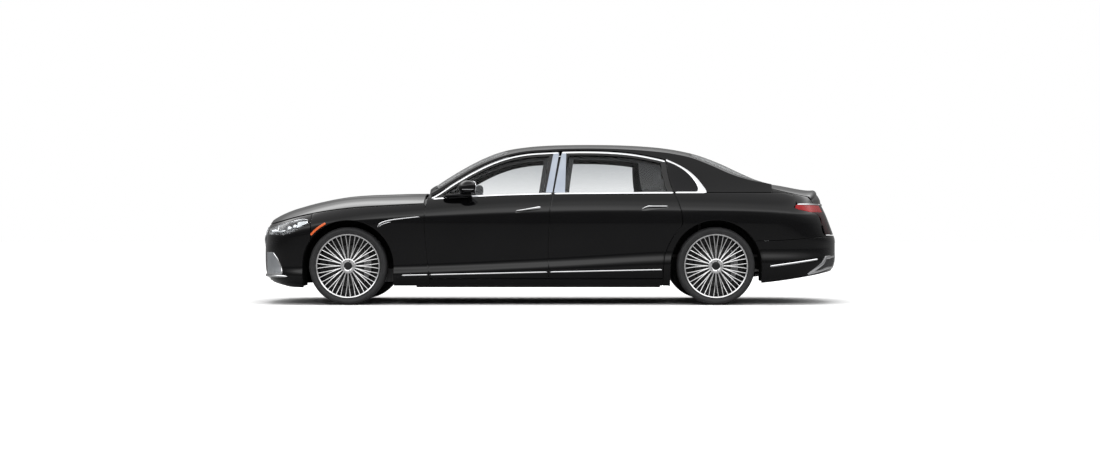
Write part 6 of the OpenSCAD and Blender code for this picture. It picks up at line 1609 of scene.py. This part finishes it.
show("vent_rings", vents, CHROME)

# %% Steering wheel
axis, across_x = (np.array([np.sin(np.radians(114)), 0, np.cos(np.radians(114))]),
                  np.array([np.cos(np.radians(114)), 0, -np.sin(np.radians(114))]))


def on_column(part):
    """Moves a piece drawn round the Y axis onto the steering column: its y runs along the column."""
    v, f, uv = part
    return (np.array([0.7308, 0.365, 0.868]) + v[:, :1] * across_x + v[:, 1:2] * axis + v[:, 2:] * (0, 1, 0),
            f[:, ::-1], uv)


a = np.linspace(0, 2 * np.pi, 16, endpoint=False)
grip = spin(coords(0.1825 + 0.014 * np.cos(a), 0.0142 * np.sin(a)), 96)
boss = spin(rounded([(0.0003, -0.012), (0.05, -0.008), (0.066, 0.004), (0.05, 0.03), (0.042, 0.08),
                     (0.0003, 0.08)], 2), 48)
arms = []
for turn in (np.pi / 2, -np.pi / 2, 0):
    r = np.linspace(0.05, 0.178, 14)
    arms.append(strip(coords(r * np.cos(turn), 0.004 + 0 * r, r * np.sin(turn)), (0, 1, 0), 0.03 - 0.06
                      * (r - 0.05), 0.012, sides=12, ends=False))
show("wheel_grip", [outward(on_column(p)) for p in (grip, boss)], LEATHER, "steering_wheel",
     ("steering_wheel",))
show("wheel_arms", [outward(on_column(p)) for p in arms], POLISHED, "steering_wheel")

# %% Posts and lining
posts = []
for cut_, back, top in ((front_cut, 0.012, 0.93), (middle_cut, -0.004, 1.38), (rear_cut, -0.03, 1.02)):
    z = np.linspace(0.19, top, 60)
    x = cut_(z) + back
    posts.append(strip(coords(x, body_y(x, z) - 0.088, z), (0, 1, 0), 0.085, 0.05, sides=12))
show("door_posts", pair(*posts), GLOSS_BLACK, stands_for=("side_frames",))
pins = [moved((lambda p: (p[0][:, [0, 2, 1]], p[1][:, ::-1],
                          p[2]))(spin(rounded([(0.0002, 0.03), (0.0045, 0.03), (0.0045, -0.03),
                                               (0.0002, -0.03)], 1), 14)), (x0, 0.947, z0))
        for x0 in (1.1471, -0.0044) for z0 in (0.687, 0.80)]
show("hinge_pins", pair(*[outward(p) for p in pins]), STEEL)
lining = crown_sheet(1.452, 1.93, (bows[1] - 0.01, 0), lift=-0.028)
show("headlining", shell(lining * (1, 0.97, 1), 0.006), FELT)
print("cabin:", {k: made[k] for k in ("dash_pad", "console", "wheel_grip", "door_posts", "headlining")})

# %% [markdown]
# ## Wheel housings
# Felt liners close the wheel arches. Each is a drum just wider than the arch, with a wall on its inner side.


# %% Wheel housings
def housing(axle, wall_y, back_low):
    """Drum over a wheel with a wall on its inner side: a half circle just wider than the arch, upright below
    the hub."""
    a, t = np.meshgrid(np.linspace(-0.4, np.pi + 0.4, 64), np.linspace(0, 1, 8), indexing="ij")
    half = np.clip(a, 0, np.pi)
    x, z = (axle + (ARCH + 0.004) * np.cos(half), HUB + (ARCH + 0.004) * np.sin(half)
            - np.where(a > np.pi, HUB - back_low, HUB - 0.172) * np.abs(a - half) / 0.4)
    y = wall_y + (np.clip(side_y(x, z), 0.86, None) - 0.014 - wall_y) * t
    drum = coords(x, y, z)
    r = np.linspace(0.24, ARCH + 0.004, 6)
    a = np.radians(np.linspace(-5, 185, 50))[:, None]
    wall = coords(axle + r * np.cos(a), np.full((50, 6), wall_y), np.maximum(HUB + r * np.sin(a), 0.23))
    return [shell(drum, 0.004, roll=0.001), shell(wall, 0.004, roll=0.001, level=True)]


show("housings", pair(*housing(AXLES[0], 0.485, 0.19), *housing(AXLES[1], 0.60, 0.218)), FELT,
     stands_for=("wheel_liners",))
print("housings:", made["housings"], "faces")

# %% [markdown]
# ## Solids that stay
# Floor, front frame, engine, rear arms, exhaust and knuckles are hardly seen and stay as they are; each
# only gets a finish.

# %% Finishes for the solids
for node, look in (("floor_pan", SEALER), ("front_frame", SEALER), ("engine", CAST),
                   ("rear_suspension", CAST), ("exhaust", STEEL), ("knuckle_left", CAST),
                   ("knuckle_right", CAST)):
    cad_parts[node].data.materials.clear()
    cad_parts[node].data.materials.append(look)
print("kept solids:", 7, "drawn pieces:", len(made), "faces:", sum(made.values()))
